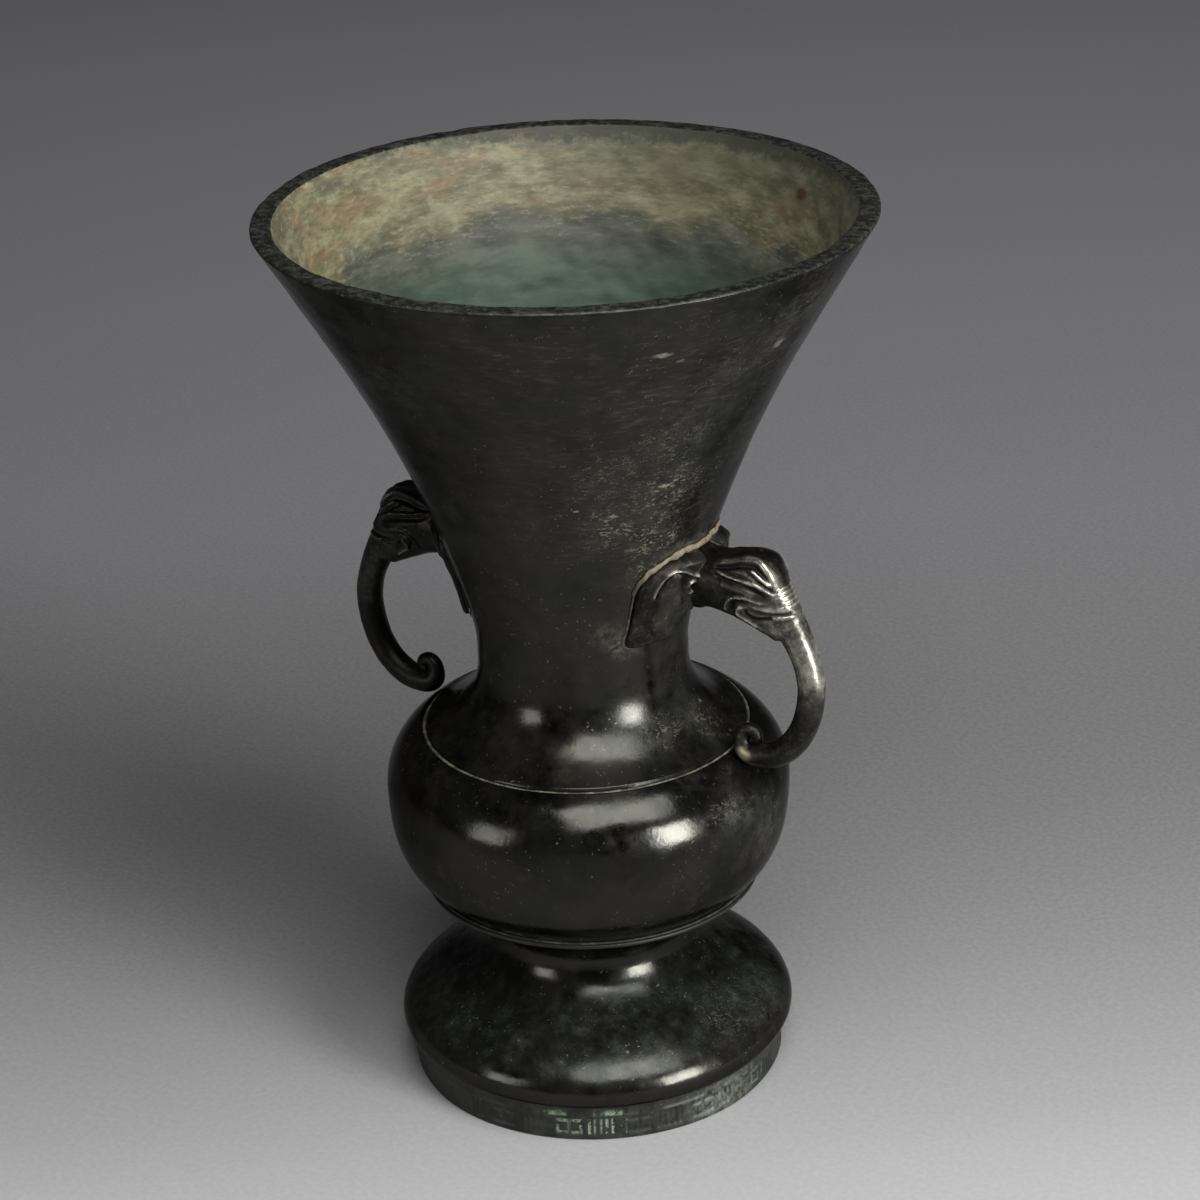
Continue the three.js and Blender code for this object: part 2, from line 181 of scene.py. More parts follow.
def capped(grid):
    """Points and faces of a tube grid that is closed at both ends by a fan."""
    rows, columns = grid.shape[:2]
    points = np.vstack([grid.reshape(-1, 3), grid[0].mean(0), grid[-1].mean(0)])
    faces = wrapped(rows, columns, False).tolist()
    first, last = rows * columns, rows * columns + 1
    base = (rows - 1) * columns
    for k in range(columns):
        n = (k + 1) % columns
        faces.append([first, n, k])
        faces.append([last, base + k, base + n])
    return points, faces


# Node materials


class Paint:
    """A Principled material built from short calls. Positions are object coordinates in millimetres.

    color is the color so far, and dull is how earthy the surface is so far; lay adds to both.
    """

    def __init__(self, name):
        self.material = bpy.data.materials.new(name)
        self.material.use_nodes = True
        self.tree = self.material.node_tree
        self.shader = self.tree.nodes["Principled BSDF"]
        self.place = self.vector("MULTIPLY", self.node("TexCoord").outputs["Object"], (1 / MM,) * 3)
        self.color = None
        self.dull = 0.0

    def node(self, kind, *values, **settings):
        """A new node with its settings, and with values for its first inputs."""
        node = self.tree.nodes.new("ShaderNode" + kind)
        for name, setting in settings.items():
            setattr(node, name, setting)
        for socket, value in zip(node.inputs, values):
            self.feed(socket, value)
        return node

    def feed(self, socket, value):
        """Links a node's output to a socket, or sets the socket to a constant."""
        if isinstance(value, bpy.types.NodeSocket):
            self.tree.links.new(value, socket)
        elif socket.type == "RGBA":
            socket.default_value = (*value, 1)
        else:
            socket.default_value = value

    def math(self, operation, a, b=0.0, clamp=False):
        return self.node("Math", a, b, operation=operation, use_clamp=clamp).outputs[0]

    def times(self, a, b):
        return self.math("MULTIPLY", a, b)

    def plus(self, a, b, clamp=False):
        return self.math("ADD", a, b, clamp)

    def about_zero(self, noise, amount):
        """Noise moved to swing about zero, times an amount."""
        return self.times(self.math("SUBTRACT", noise, 0.5), amount)

    def vector(self, operation, a, b=(0, 0, 0)):
        node = self.node("VectorMath", a, b, operation=operation)
        return node.outputs["Value" if operation in ("LENGTH", "DOT_PRODUCT") else "Vector"]

    def stored(self, name):
        """The value that marked kept for each point of the mesh."""
        return self.node("Attribute", attribute_name=name).outputs["Fac"]

    def noise_node(self, sizes, detail, shift):
        """A noise node whose blotches are about as wide along each axis as the sizes."""
        scaled = self.vector("MULTIPLY", self.place, tuple(1 / s for s in sizes))
        node = self.node("TexNoise", self.vector("ADD", scaled, shift))
        node.inputs["Scale"].default_value = 1.0
        node.inputs["Detail"].default_value = detail
        return node

    def noise(self, size, detail=3.0, roughness=0.55, stretch=(1, 1, 1), seed=0):
        """Noise from about 0.3 to 0.7, with blotches drawn out where stretch is more than 1."""
        node = self.noise_node([size * s for s in stretch], detail, (seed * 13.7, seed * 7.3, seed * 3.1))
        node.inputs["Roughness"].default_value = roughness
        return node.outputs[0]

    def roughened(self, amount, size, seed=0):
        """Positions pushed about by noise, so that painted areas get uneven edges."""
        node = self.noise_node((size, size, size), 3.0, (seed * 5.1, 2.7, 1.3))
        push = self.vector("SUBTRACT", node.outputs["Color"], (0.5, 0.5, 0.5))
        return self.vector("ADD", self.place, self.vector("MULTIPLY", push, (amount, amount, amount)))

    def step(self, value, low, high):
        """A soft step from 0 at low to 1 at high; low may be the greater."""
        ends = (low, high, 0.0, 1.0) if low < high else (high, low, 1.0, 0.0)
        return self.node("MapRange", value, *ends, interpolation_type="SMOOTHSTEP").outputs[0]

    def blotches(self, low, high, *noise, **more):
        """A soft step between two values of a noise, which takes the other arguments."""
        return self.step(self.noise(*noise, **more), low, high)

    def spot(self, place, centre, radii, edge=0.5):
        """1 near a centre, falling to 0 at the given radii; edge is where the fall begins."""
        away = self.vector("SUBTRACT", place, tuple(map(float, centre)))
        away = self.vector("MULTIPLY", away, tuple(1 / r for r in radii))
        return self.step(self.vector("LENGTH", away), 1.0, edge)

    def areas(self, place, rows, edge):
        """The strongest of several spots on the vase, given as rows of the kind in the tables below."""
        total = None
        for azimuth, radius, z, wide, tall, share in rows:
            spot = self.times(self.spot(place, on_vase(azimuth, radius, z), (wide, wide, tall), edge), share)
            total = spot if total is None else self.math("MAXIMUM", total, spot)
        return total

    def height(self, place=None):
        return self.node("SeparateXYZ", place or self.place).outputs[2]

    def facing(self, azimuth, place=None):
        """Distance in millimetres from the axis towards an azimuth."""
        return self.vector("DOT_PRODUCT", place or self.place, (math.cos(azimuth), math.sin(azimuth), 0))

    def ramp(self, value, low, high, stops):
        """A color for each value from low to high, from (value, color) stops."""
        node = self.node("ValToRGB", self.math("DIVIDE", self.math("SUBTRACT", value, low), high - low))
        node.color_ramp.interpolation = "B_SPLINE"
        marks = node.color_ramp.elements
        while len(marks) < len(stops):
            marks.new(0.5)
        for mark, (at, color) in zip(marks, stops):
            mark.position = (at - low) / (high - low)
            mark.color = (*color, 1)
        return node.outputs[0]

    def mix(self, share, a, b):
        node = self.node("Mix", share, data_type="RGBA")
        self.feed(node.inputs["A"], a)
        self.feed(node.inputs["B"], b)
        return node.outputs["Result"]

    def lay(self, mask, color, strength=1.0, dull=0.0, least=0.0):
        """Lays a color over the one so far where the mask is 1.

        dull is added to the dullness there, and least is the least dullness there.
        """
        self.color = self.mix(self.times(mask, strength), self.color, color)
        if dull:
            self.dull = self.plus(self.dull, self.times(mask, dull))
        if least:
            self.dull = self.math("MAXIMUM", self.dull, self.times(mask, least))

    def bump(self, *parts):
        """Bumps from noises, each given with its height in millimetres."""
        relief = self.times(*parts[0])
        for part in parts[1:]:
            relief = self.plus(relief, self.times(*part))
        node = self.node("Bump", 1.0, MM)
        self.feed(node.inputs["Height"], relief)
        self.tree.links.new(node.outputs[0], self.shader.inputs["Normal"])

    def finish(self, roughness, metallic=0.0, specular=0.5):
        self.feed(self.shader.inputs["Base Color"], self.color)
        self.feed(self.shader.inputs["Roughness"], roughness)
        self.feed(self.shader.inputs["Metallic"], metallic)
        self.shader.inputs["Specular IOR Level"].default_value = specular
        return self.material


def photo_side(azimuth):
    """Azimuth in the part's frame of a side given from the photograph's front, positive to the right."""
    return FRONT + math.radians(azimuth)


def on_vase(azimuth, radius, z):
    """A point of the vase from its side in the photograph, its radius and its height."""
    a = photo_side(azimuth)
    return (radius * math.cos(a), radius * math.sin(a), z)


# Colors that more than one coat uses, as linear red, green and blue
DARK_METAL = (0.030, 0.0305, 0.0275)
BROWN_METAL = (0.0385, 0.0352, 0.030)
RED_METAL = (0.036, 0.0245, 0.018)
DULL_FILM = (0.0125, 0.012, 0.0095)
VERDIGRIS = (0.033, 0.038, 0.029)
GREEN = (0.085, 0.115, 0.085)
TAN = (0.15, 0.135, 0.10)
CREAM = (0.20, 0.205, 0.155)


def brush_mouth(p, cloud):
    """Dull dashes drawn out round the mouth's casting, more of them on the photograph's right."""
    dashes = p.times(p.blotches(0.48, 0.74, 1.4, 3, 0.65, (3.2, 3.2, 0.7), 4), p.step(p.height(), 128, 165))
    right = p.step(p.facing(photo_side(55)), -10, 45)
    share = p.times(p.plus(p.times(right, 0.5), 0.1), p.step(cloud, 0.3, 0.66))
    p.lay(p.times(dashes, share), (0.05, 0.049, 0.04), dull=0.5)


def grow_green(p, rough, spots):
    """Verdigris, with a brighter green in small specks."""
    area = p.areas(rough, spots, 0.1)
    p.lay(p.times(area, p.blotches(0.3, 0.7, 4.5, 4, 0.7, seed=7)), VERDIGRIS, 0.85, dull=0.55)
    p.lay(p.times(area, p.blotches(0.58, 0.74, 1.3, 3, 0.7, seed=8)), GREEN, 0.55, dull=0.3)


def grow_crust(p, rough, spots):
    """A brown stain with rust, pale lumps and dark pits. Returns where the lumps are."""
    area = p.areas(rough, spots, 0.2)
    p.lay(p.times(area, p.blotches(0.34, 0.66, 3, 5, 0.75, seed=9)), (0.016, 0.0145, 0.0095), 0.85, dull=0.7)
    p.lay(p.times(area, p.blotches(0.52, 0.62, 2.4, 4, 0.7, seed=16)), (0.026, 0.016, 0.010), 0.6)
    grit = p.noise(0.75, 3, 0.72, stretch=(1.7, 1.7, 0.8), seed=10)
    grit = p.plus(grit, p.times(p.noise(3, 3, 0.65, seed=11), 0.5))
    lumps = p.times(area, p.step(grit, 0.8, 0.88))
    p.lay(lumps, (0.12, 0.108, 0.07), 0.85, dull=1.0)
    p.lay(p.times(area, p.step(grit, 0.74, 0.64)), (0.006, 0.005, 0.0035), 0.75, dull=0.6)
    return lumps


def wear_lip(p):
    """The dark top of the rim, worn paler in patches and flaked."""
    top = p.step(p.height(p.roughened(0.4, 2.5, seed=2)), 230.3, 230.8)
    edge = p.mix(p.blotches(0.42, 0.66, 2.2, 5, 0.75, seed=12), (0.005, 0.006, 0.0045), (0.04, 0.042, 0.032))
    flakes = p.times(p.blotches(0.6, 0.7, 0.8, 3, 0.65, seed=18), p.blotches(0.46, 0.6, 7, 3, 0.6, seed=19))
    p.lay(top, p.mix(p.times(flakes, 0.55), edge, (0.13, 0.13, 0.10)), least=0.75)


def stain_foot(p, rough, mottle):
    """The foot's dull crest with its bloom, and the matte band with verdigris left in its fret."""
    z = p.height(p.roughened(5, 9, seed=5))
    crest = p.times(p.step(z, 14, 21), p.step(z, 39, 27))
    crest = p.times(crest, p.blotches(0.3, 0.66, 9, 5, 0.74, seed=17))
    p.lay(crest, (0.010, 0.0135, 0.0115), 0.85, dull=0.3)
    p.lay(p.times(crest, p.blotches(0.4, 0.72, 3.2, 5, 0.72, seed=21)), VERDIGRIS, 0.8, dull=0.2)
    grains = p.times(p.blotches(0.62, 0.7, 0.75, 2, 0.6, seed=20), p.step(p.facing(photo_side(62)), 8, 40))
    p.lay(p.times(grains, crest), GREEN, 0.5)
    band = p.step(p.height(), 9.9, 9.2)
    dirt = p.mix(p.step(mottle, 0.36, 0.64), (0.0045, 0.0055, 0.0042), (0.019, 0.021, 0.0165))
    p.lay(band, dirt, 0.92)
    pale = p.spot(rough, on_vase(41, BAND_RADIUS, 5), (17, 17, 9), 0.2)
    pale = p.times(p.times(pale, p.blotches(0.36, 0.62, 1.6, 4, 0.7, seed=14)), band)
    p.lay(pale, (0.11, 0.117, 0.096), 0.7)
    filled = p.times(p.stored("cut"), p.areas(p.place, FRET_GREEN, 0.6))
    p.lay(p.times(filled, p.blotches(0.36, 0.56, 1.2, 3, 0.65, seed=15)), (0.15, 0.19, 0.135))
    p.dull = p.math("MAXIMUM", p.dull, p.times(band, 0.85))


def bronze(name, gloss, haze=0.4, crust=(), green=(), chips=(), dust=(), waist_shade=(), flare=False, band=False):
    """Dark bronze: metal with the roughness gloss where it is clean, and earthy where it is dull or crusted.

    haze is the share of dull film. crust, green, chips and dust are tables of areas, and the pair of heights
    given after dust marks where painted shade darkens the skin towards the waist. flare adds the worn lip and
    the dashes of the mouth's casting, and band adds the dull crest and the matte, cut band of the foot.
    """
    p = Paint(name)
    rough = p.roughened(9, 12)
    cloud = p.noise(24, 2, 0.6)
    mottle = p.noise(5, 4, 0.68, seed=1)
    p.color = p.mix(p.step(cloud, 0.36, 0.62), DARK_METAL, BROWN_METAL)
    red = p.times(p.blotches(0.52, 0.7, 13, 3, 0.6, seed=5), p.step(mottle, 0.36, 0.66))
    p.lay(red, RED_METAL, 0.6, dull=0.2)
    film = p.times(p.blotches(0.32, 0.72, 16, 5, 0.72, seed=6), 0.75)
    film = p.times(p.plus(film, p.times(p.step(mottle, 0.28, 0.74), 0.25)), haze)
    p.lay(film, DULL_FILM)
    relief = [(cloud, 0.3), (mottle, 0.05), (p.noise(0.9, 3, 0.65, seed=2), 0.024)]
    if flare:
        brush_mouth(p, cloud)
    if green:
        grow_green(p, rough, green)
    if crust:
        relief.append((grow_crust(p, rough, crust), 0.22))
    if dust:
        powder = p.blotches(0.36, 0.62, 1.6, 5, 0.75, seed=22)
        p.lay(p.times(p.areas(rough, dust, 0.1), powder), (0.060, 0.061, 0.045), dull=1.0)
    if chips:
        p.lay(p.areas(p.roughened(1.5, 1.2, seed=3), chips, 0.2), CREAM, dull=1.0)
    if flare:
        wear_lip(p)
    if band:
        stain_foot(p, rough, mottle)
    # painted shade: the skin darkened towards the waist, in the recess under the belly
    if waist_shade:
        p.lay(p.step(p.height(), *waist_shade), (0.009, 0.009, 0.0075), 0.9, least=0.8)
    specks = p.times(p.blotches(0.67, 0.72, 0.9, 2, 0.5, seed=13), p.blotches(0.42, 0.6, 10, 3, 0.6, seed=23))
    p.lay(specks, TAN, 0.5, dull=0.3)
    dull = p.plus(p.dull, 0.0, clamp=True)
    roughness = p.plus(p.times(p.step(mottle, 0.3, 0.7), 0.06), gloss)
    roughness = p.plus(roughness, p.plus(p.times(dull, 0.38), p.times(film, 0.12)))
    earthy = p.plus(p.times(dull, 0.9), p.times(film, 0.6), clamp=True)
    p.bump(*relief)
    p.shader.inputs["Specular Tint"].default_value = (0.5, 0.5, 0.5, 1)
    return p.finish(roughness, p.math("SUBTRACT", 1.0, earthy), 0.6)


def handle_bronze():
    """Bronze that hands have worn bright on its raised places. The meshes carry how worn each point is,
    lowered on the left handle partly as painted shade.
    """
    p = Paint("handle_bronze")
    mottle = p.noise(3.2, 4, 0.65, seed=50)
    fine = p.noise(0.8, 3, 0.65, seed=51)
    brushed = p.noise(0.7, 2, 0.6, stretch=(1, 1, 6), seed=52)
    wear = p.plus(p.plus(p.stored("wear"), p.about_zero(mottle, 0.7)), p.about_zero(fine, 0.35))
    p.color = p.mix(p.step(wear, 0.05, 0.5), (0.004, 0.0038, 0.003), (0.034, 0.033, 0.0265))
    p.lay(p.step(wear, 0.42, 0.95), (0.40, 0.39, 0.325))
    red = p.times(p.blotches(0.52, 0.64, 6, 3, 0.6, seed=53), p.step(wear, 0.6, 0.2))
    p.lay(red, (0.045, 0.026, 0.018), 0.22)
    p.lay(p.times(p.step(fine, 0.56, 0.7), p.step(mottle, 0.5, 0.62)), (0.14, 0.135, 0.10), 0.35)
    cream = p.spot(p.roughened(1.6, 2, seed=6), (46.2, -3.2, 96.6), (3.4, 3.0, 2.6), 0.2)
    p.lay(cream, (0.38, 0.34, 0.23), 0.8)
    roughness = p.plus(p.times(p.step(wear, 0.8, 0.2), 0.2), p.times(p.step(brushed, 0.35, 0.65), 0.05))
    roughness = p.plus(p.plus(roughness, p.times(p.step(mottle, 0.5, 0.66), 0.08)), 0.2)
    p.bump((mottle, 0.06), (fine, 0.034), (brushed, 0.008))
    return p.finish(roughness, 0.7, 0.4)


def inside_bronze():
    """The mouth's inside: a cream band over mottled grey over soft green, drawn out along the wall, with
    painted shade on the right-hand wall.
    """
    p = Paint("inside_patina")
    z = p.height(p.roughened(13, 20))
    clouds = p.noise(6, 4, 0.66, stretch=(2.4, 2.4, 0.8), seed=20)
    wisps = p.noise(1.5, 5, 0.74, stretch=(2.6, 2.6, 0.75), seed=21)
    tone = p.step(clouds, 0.34, 0.64)
    cream = p.mix(tone, (0.074, 0.067, 0.035), (0.165, 0.154, 0.090))
    grey = p.mix(tone, (0.036, 0.041, 0.030), (0.082, 0.084, 0.063))
    green = p.mix(tone, (0.032, 0.056, 0.035), (0.058, 0.092, 0.06))
    p.color = p.mix(p.step(z, 196, 206), green, grey)
    upper = p.plus(p.step(z, 204, 217), p.about_zero(p.noise(22, 2, 0.6, seed=22), 1.2))
    p.lay(p.step(upper, 0.25, 0.75), cream)
    tan = p.times(p.blotches(0.52, 0.66, 9, 3, 0.6, (2, 2, 0.7), 24), p.step(z, 208, 218))
    p.lay(tan, (0.15, 0.108, 0.06), 0.75)
    high = p.step(z, 200, 212)
    p.lay(p.times(p.step(wisps, 0.5, 0.68), high), (0.245, 0.24, 0.165), 0.5)
    p.lay(p.times(p.step(wisps, 0.5, 0.34), high), (0.052, 0.047, 0.032), 0.5)
    # painted shade: the upper inner wall at the back right, under the rim, laid darker and duller
    painted_shade_back_right = p.step(p.facing(photo_side(128), p.roughened(10, 9, seed=4)), 26, 58)
    p.lay(p.times(painted_shade_back_right, p.step(z, 206, 226)), (0.034, 0.034, 0.023), 0.6)
    # painted shade: the lower inner wall on the right, laid darker
    painted_shade_low_right = p.times(p.step(p.facing(photo_side(110)), 10, 55), p.step(z, 216, 200))
    p.lay(painted_shade_low_right, (0.022, 0.03, 0.018), 0.45)
    murk = p.times(p.blotches(0.4, 0.66, 5, 5, 0.72, (2, 2, 0.8), 25), p.step(z, 218, 228))
    p.lay(murk, (0.052, 0.058, 0.042), 0.6)
    edge = p.plus(p.about_zero(p.noise(3, 5, 0.75, seed=23), 10), p.height())
    edge = p.plus(edge, p.times(p.step(p.facing(photo_side(150)), 20, 64), 3.6))
    p.lay(p.step(edge, 229.8, 232.6), (0.018, 0.021, 0.015), 0.8)
    rust = p.spot(p.roughened(1.6, 2, seed=5), on_vase(117, 66.2, 222.4), (3.2, 3.2, 2.4), 0.4)
    p.lay(rust, (0.036, 0.017, 0.005), 0.9)
    p.bump((clouds, 0.22), (wisps, 0.05))
    return p.finish(0.62, specular=0.3)


def solder_paint(name, light, dark, pale_above=None):
    """A dull joint line, pale where it is dry and dark where it is dirty, or only pale above a height."""
    p = Paint(name)
    pale = p.blotches(0.42, 0.62, 3.2, 4, 0.65, seed=30)
    if pale_above:
        high = p.step(p.height(p.roughened(3, 4, seed=7)), pale_above - 4, pale_above + 4)
        pale = p.plus(p.times(pale, 0.35), p.times(high, 0.75), clamp=True)
        pale = p.times(pale, p.plus(p.times(high, 0.8), 0.2))
    p.color = p.mix(pale, dark, light)
    grit = p.noise(0.8, 3, 0.65, seed=32)
    p.lay(p.step(grit, 0.52, 0.68), (0.04, 0.037, 0.028), 0.5)
    p.bump((grit, 0.1))
    return p.finish(0.62, specular=0.35)


# Painted light and shade on the studio paper: its brightness at distances from the axis towards the camera,
# in millimetres
FLOOR_PAINTED_LIGHT = (
    (-1800, 0.41), (-1000, 0.37), (-600, 0.245), (-350, 0.20), (-225, 0.152), (-130, 0.152),
    (-35, 0.205), (40, 0.28), (85, 0.365), (120, 0.30), (190, 0.15), (400, 0.11),
)
BLUISH_BEYOND = -300


def painted_light_floor():
    """Grey studio paper with a faint grain and painted light and shade: lighter round the vase and far behind
    it, darker just behind it and far in front.
    """
    p = Paint("floor_paper_painted_light")
    stops = [(at, (v, v, v * (1.05 if at < BLUISH_BEYOND else 1.0))) for at, v in FLOOR_PAINTED_LIGHT]
    # the ramp paints the lamps' falloff and the shade round the vase into the paper's colour
    p.color = p.ramp(p.facing(FRONT), FLOOR_PAINTED_LIGHT[0][0], FLOOR_PAINTED_LIGHT[-1][0], stops)
    p.lay(p.blotches(0.34, 0.66, 1.6, 4, 0.75, seed=60), (0.7, 0.7, 0.7), 0.07)
    return p.finish(0.85, specular=0.2)


# The three castings, turned from their outlines


def neck_lines():
    """Outer line of the neck casting from the rim down, and the same line from the trumpet down."""
    trumpet = bezier((57.54, 200.3), (38.17, 166.9), (NECK_RADIUS, 128.5), (NECK_RADIUS, 118.5), 120)
    tangent, lean = 7, 0.35
    bend = (SKIRT_RADIUS - tangent * math.cos(lean), SKIRT_Z + tangent * math.sin(lean))
    sweep = bezier((NECK_RADIUS, 114), (NECK_RADIUS, 105), bend, (SKIRT_RADIUS, SKIRT_Z), 50)
    straight = spaced([(NECK_RADIUS, 118.5), (NECK_RADIUS, 114)], 0.9)[1:-1]
    body = np.vstack([trumpet, straight, sweep])
    return np.vstack([spaced([(75, 230.4), (57.54, 200.3)], 0.8)[:-1], body]), body


def even_angles(count):
    return np.arange(count) * 2 * math.pi / count


def round_axis(radius, angle, z):
    """Points at a radius, at an angle about Z and at a height."""
    return np.stack([radius * np.cos(angle), radius * np.sin(angle), z + 0 * angle], -1)


def lathe(name, outline, angles, materials, picks, dent=None):
    """A closed body turned about Z.

    picks gives the number of a material for each point of the outline, and dent says how far each point
    of the grid moves outwards.
    """
    outline = np.array(outline, float)
    grid = round_axis(outline[:, :1], angles, outline[:, 1:])
    following = np.roll(outline, -1, 0)
    area = 0.5 * np.sum(outline[:, 0] * following[:, 1] - following[:, 0] * outline[:, 1])
    if dent is not None:
        along = unit(following - np.roll(outline, 1, 0)) * np.sign(area)
        out = round_axis(along[:, 1:], angles, -along[:, :1])
        grid = grid + out * dent(grid)[..., None]
    faces = wrapped(len(outline), len(angles))
    if area < 0:
        faces = faces[:, ::-1]
    return make(name, grid.reshape(-1, 3), faces, materials, np.repeat(picks, len(angles)))


def casting_dents(amount, seed):
    """Unevenness of a hand-finished casting, never above its nominal skin."""
    def dent(grid):
        uneven = 1 + 0.7 * waves(grid, 34, seed) + 0.3 * waves(grid, 9, seed + 1)
        return -amount * uneven.clip(0, 2.2) / 2

    return dent


def build_neck(skin, inside):
    outer, body = neck_lines()
    inner = shifted(body, WALL)
    narrow = np.argmin(inner[:, 0])
    inner = inner[:narrow + np.argmax(inner[narrow:, 0] > SPIGOT_BORE)]
    lip = [(69.6, 230.3), (69.75, 230.8), (70.2, 231.1), (70.7, RIM_Z)]
    lip += spaced([(70.7, RIM_Z), (74.1, RIM_Z)], 0.7)[1:].tolist()
    lip += [(74.5, 231.13), (74.8, 230.92), (74.97, 230.65)]
    seat = [(SKIRT_RADIUS, 95.3), (40.6, SEAT_Z), (38.0, SEAT_Z), (38.0, 91.3), (34.9, 91.2)]
    seat += [(SPIGOT_BORE, 91.3), (SPIGOT_BORE, 93.5)]
    upper = spaced([inner[0], lip[0]], 0.8)[1:-1]
    outline = np.vstack([lip, outer, seat, inner[::-1], upper])
    below_lip = np.arange(len(outline)) >= len(lip) + len(outer) + len(seat)
    within = below_lip.copy()
    within[0] = True

    def dent(grid):
        soft = casting_dents(0.22, 3)(grid)
        z = outline[:, 1:]
        wear = 0.1 * np.maximum(0, waves(grid, 5, 8)) + 0.16 * smooth(waves(grid, 11, 9), 0.7, 1.8)
        pits = np.where(below_lip[:, None], 0.18 * waves(grid, 6, 12), 0)
        return soft - smooth(z, 229.5, 231.0) * wear + pits * smooth(230 - z, 0, 6)

    return lathe("neck_casting", outline, even_angles(CASTING_SIDES), [skin, inside], within, dent)


def build_belly(skin, hidden):
    widest_z, centre, reach, rim_reach, rise = 80, 34.2, 17.5, 7.5, 15.8
    tall = rise / math.sqrt(1 - (rim_reach / reach) ** 2)
    crown = []
    for a in np.linspace(math.acos(rim_reach / reach), 0, 40):
        share = math.cos(a)
        crown.append((centre + reach * share, widest_z + tall * math.sqrt(max(0.0, 1 - share**2))))
    tangent, lean = 5.85, 0.485
    bend = (41.9 + tangent * math.cos(lean), 55 + tangent * math.sin(lean))
    under = bezier((51.7, widest_z), (51.7, 63.8), bend, (41.9, 55), 46)
    outer = np.vstack([crown, under[1:]])
    inner = shifted(outer, WALL)
    inner = inner[(inner[:, 0] > 38.5) & (inner[:, 1] > 57.6)]
    rim = [(41.55, SEAT_Z), (41.7, 95.35)]
    flange = [(41.9, 54.1), (41.8, WAIST_Z), (36.6, WAIST_Z), (36.6, FLOOR_Z), (40.2, FLOOR_Z)]
    ledge = [(38.3, 93.2), (38.3, 95.1), (38.4, SEAT_Z)]
    outline = np.vstack([rim, outer, flange, inner[::-1], ledge])
    within = np.arange(len(outline)) > len(rim) + len(outer)
    angles = even_angles(CASTING_SIDES)
    return lathe("belly_casting", outline, angles, [skin, hidden], within, casting_dents(0.2, 21))


# One repeat of the worn fret on the foot's band, from the top row down
FRET = [
    "..################......",
    "........................",
    "#.#.#.#.#....#########..",
    "#.#.#.#.#........#......",
    "#.#.#.#.#....#...#...#..",
    "#.#.#.#.#....#...#...#..",
    "#.#.#.#.#....#########..",
    "........................",
]
FRET_REPEATS = 17
FRET_TOP = 8.1
FRET_ROW = 0.9
FRET_DEPTH = 0.18


def fret_columns():
    """Angles of the foot's columns: two to each cell of the fret, so that its edges are crisp."""
    cells = FRET_REPEATS * len(FRET[0])
    k = np.arange(cells)[:, None] + np.array([0.14, 0.86])[None, :]
    return (k * 2 * math.pi / cells).ravel()


def build_foot(skin, hidden):
    ridge = [(42.4, WAIST_Z), (42.95, 53.98), (43.25, 53.85), (43.4, 53.55), (43.4, 53.1)]
    ridge += [(43.15, 52.75), (42.2, 52.2)]
    stem = bezier((41.3, 51.6), (30.8, 46.35), (STEM_RADIUS, 44.6), (STEM_RADIUS, 38.6), 30)
    flare = bezier((STEM_RADIUS, 38.6), (STEM_RADIUS, 31.4), (35.16, 27.61), (37.4, 26.3), 36)
    dome = bezier((37.4, 26.3), (40.5, 24.48), (51.5, 20.7), (51.5, 13.8), 40)
    edge = bezier((51.5, 13.8), (51.5, 11.7), (50.0, 10.65), (BAND_RADIUS, BAND_TOP), 14)
    skin_line = np.vstack([stem, flare[1:], dome[1:], edge[1:]])
    band = [(BAND_RADIUS, 9.25)]
    for k in range(len(FRET)):
        top = FRET_TOP - FRET_ROW * k
        band += [(BAND_RADIUS, top - 0.1), (BAND_RADIUS, top - FRET_ROW + 0.1)]
    band += [(BAND_RADIUS, 0.6), (48.38, 0.15), (48.1, 0.0)]
    inner = shifted(skin_line, WALL)
    inner = inner[(inner[:, 1] > 11.3) & (inner[:, 1] < 50.6)][::2]
    sole = [(44.5, 0.0), (44.15, 0.25), (44.1, BAND_TOP)]
    spigot = [(33.1, 51.0), (33.1, FLOOR_Z), (36.3, FLOOR_Z), (36.3, WAIST_Z)]
    outline = np.vstack([ridge, skin_line, band, sole, inner[::-1], spigot])
    first_row = len(ridge) + len(skin_line) + 1
    within = np.arange(len(outline)) >= len(ridge) + len(skin_line) + len(band)
    angles = fret_columns()
    cuts = np.zeros((len(outline), len(angles)))
    for k, row in enumerate(FRET):
        cuts[first_row + 2 * k:first_row + 2 * k + 2] = np.repeat([c == "#" for c in row * FRET_REPEATS], 2)

    def dent(grid):
        soft = casting_dents(0.16, 41)(grid)
        worn = smooth(waves(grid, 22, 44) + 0.5 * waves(grid, 7, 45), -0.9, 0.6)
        return soft - FRET_DEPTH * cuts * (0.2 + 0.8 * worn)

    return marked(lathe("foot_casting", outline, angles, [skin, hidden], within, dent), "cut", cuts)


def build_ring(name, profile, material, dent_size, seed):
    """A small turned ring or disc with an uneven surface."""
    def dent(grid):
        return -dent_size * (0.5 + 0.5 * waves(grid, 4, seed)).clip(0, 1.5)

    return lathe(name, profile, even_angles(RING_SIDES), [material], np.zeros(len(profile), int), dent)


# Handles


def neck_radius(z):
    """Outer radius of the neck at a height."""
    outer = neck_lines()[0]
    return np.interp(z, outer[::-1, 1], outer[::-1, 0])


def neck_slope(z):
    """How much the neck's radius grows in each millimetre of height."""
    return neck_radius(np.asarray(z) + 0.5) - neck_radius(np.asarray(z) - 0.5)


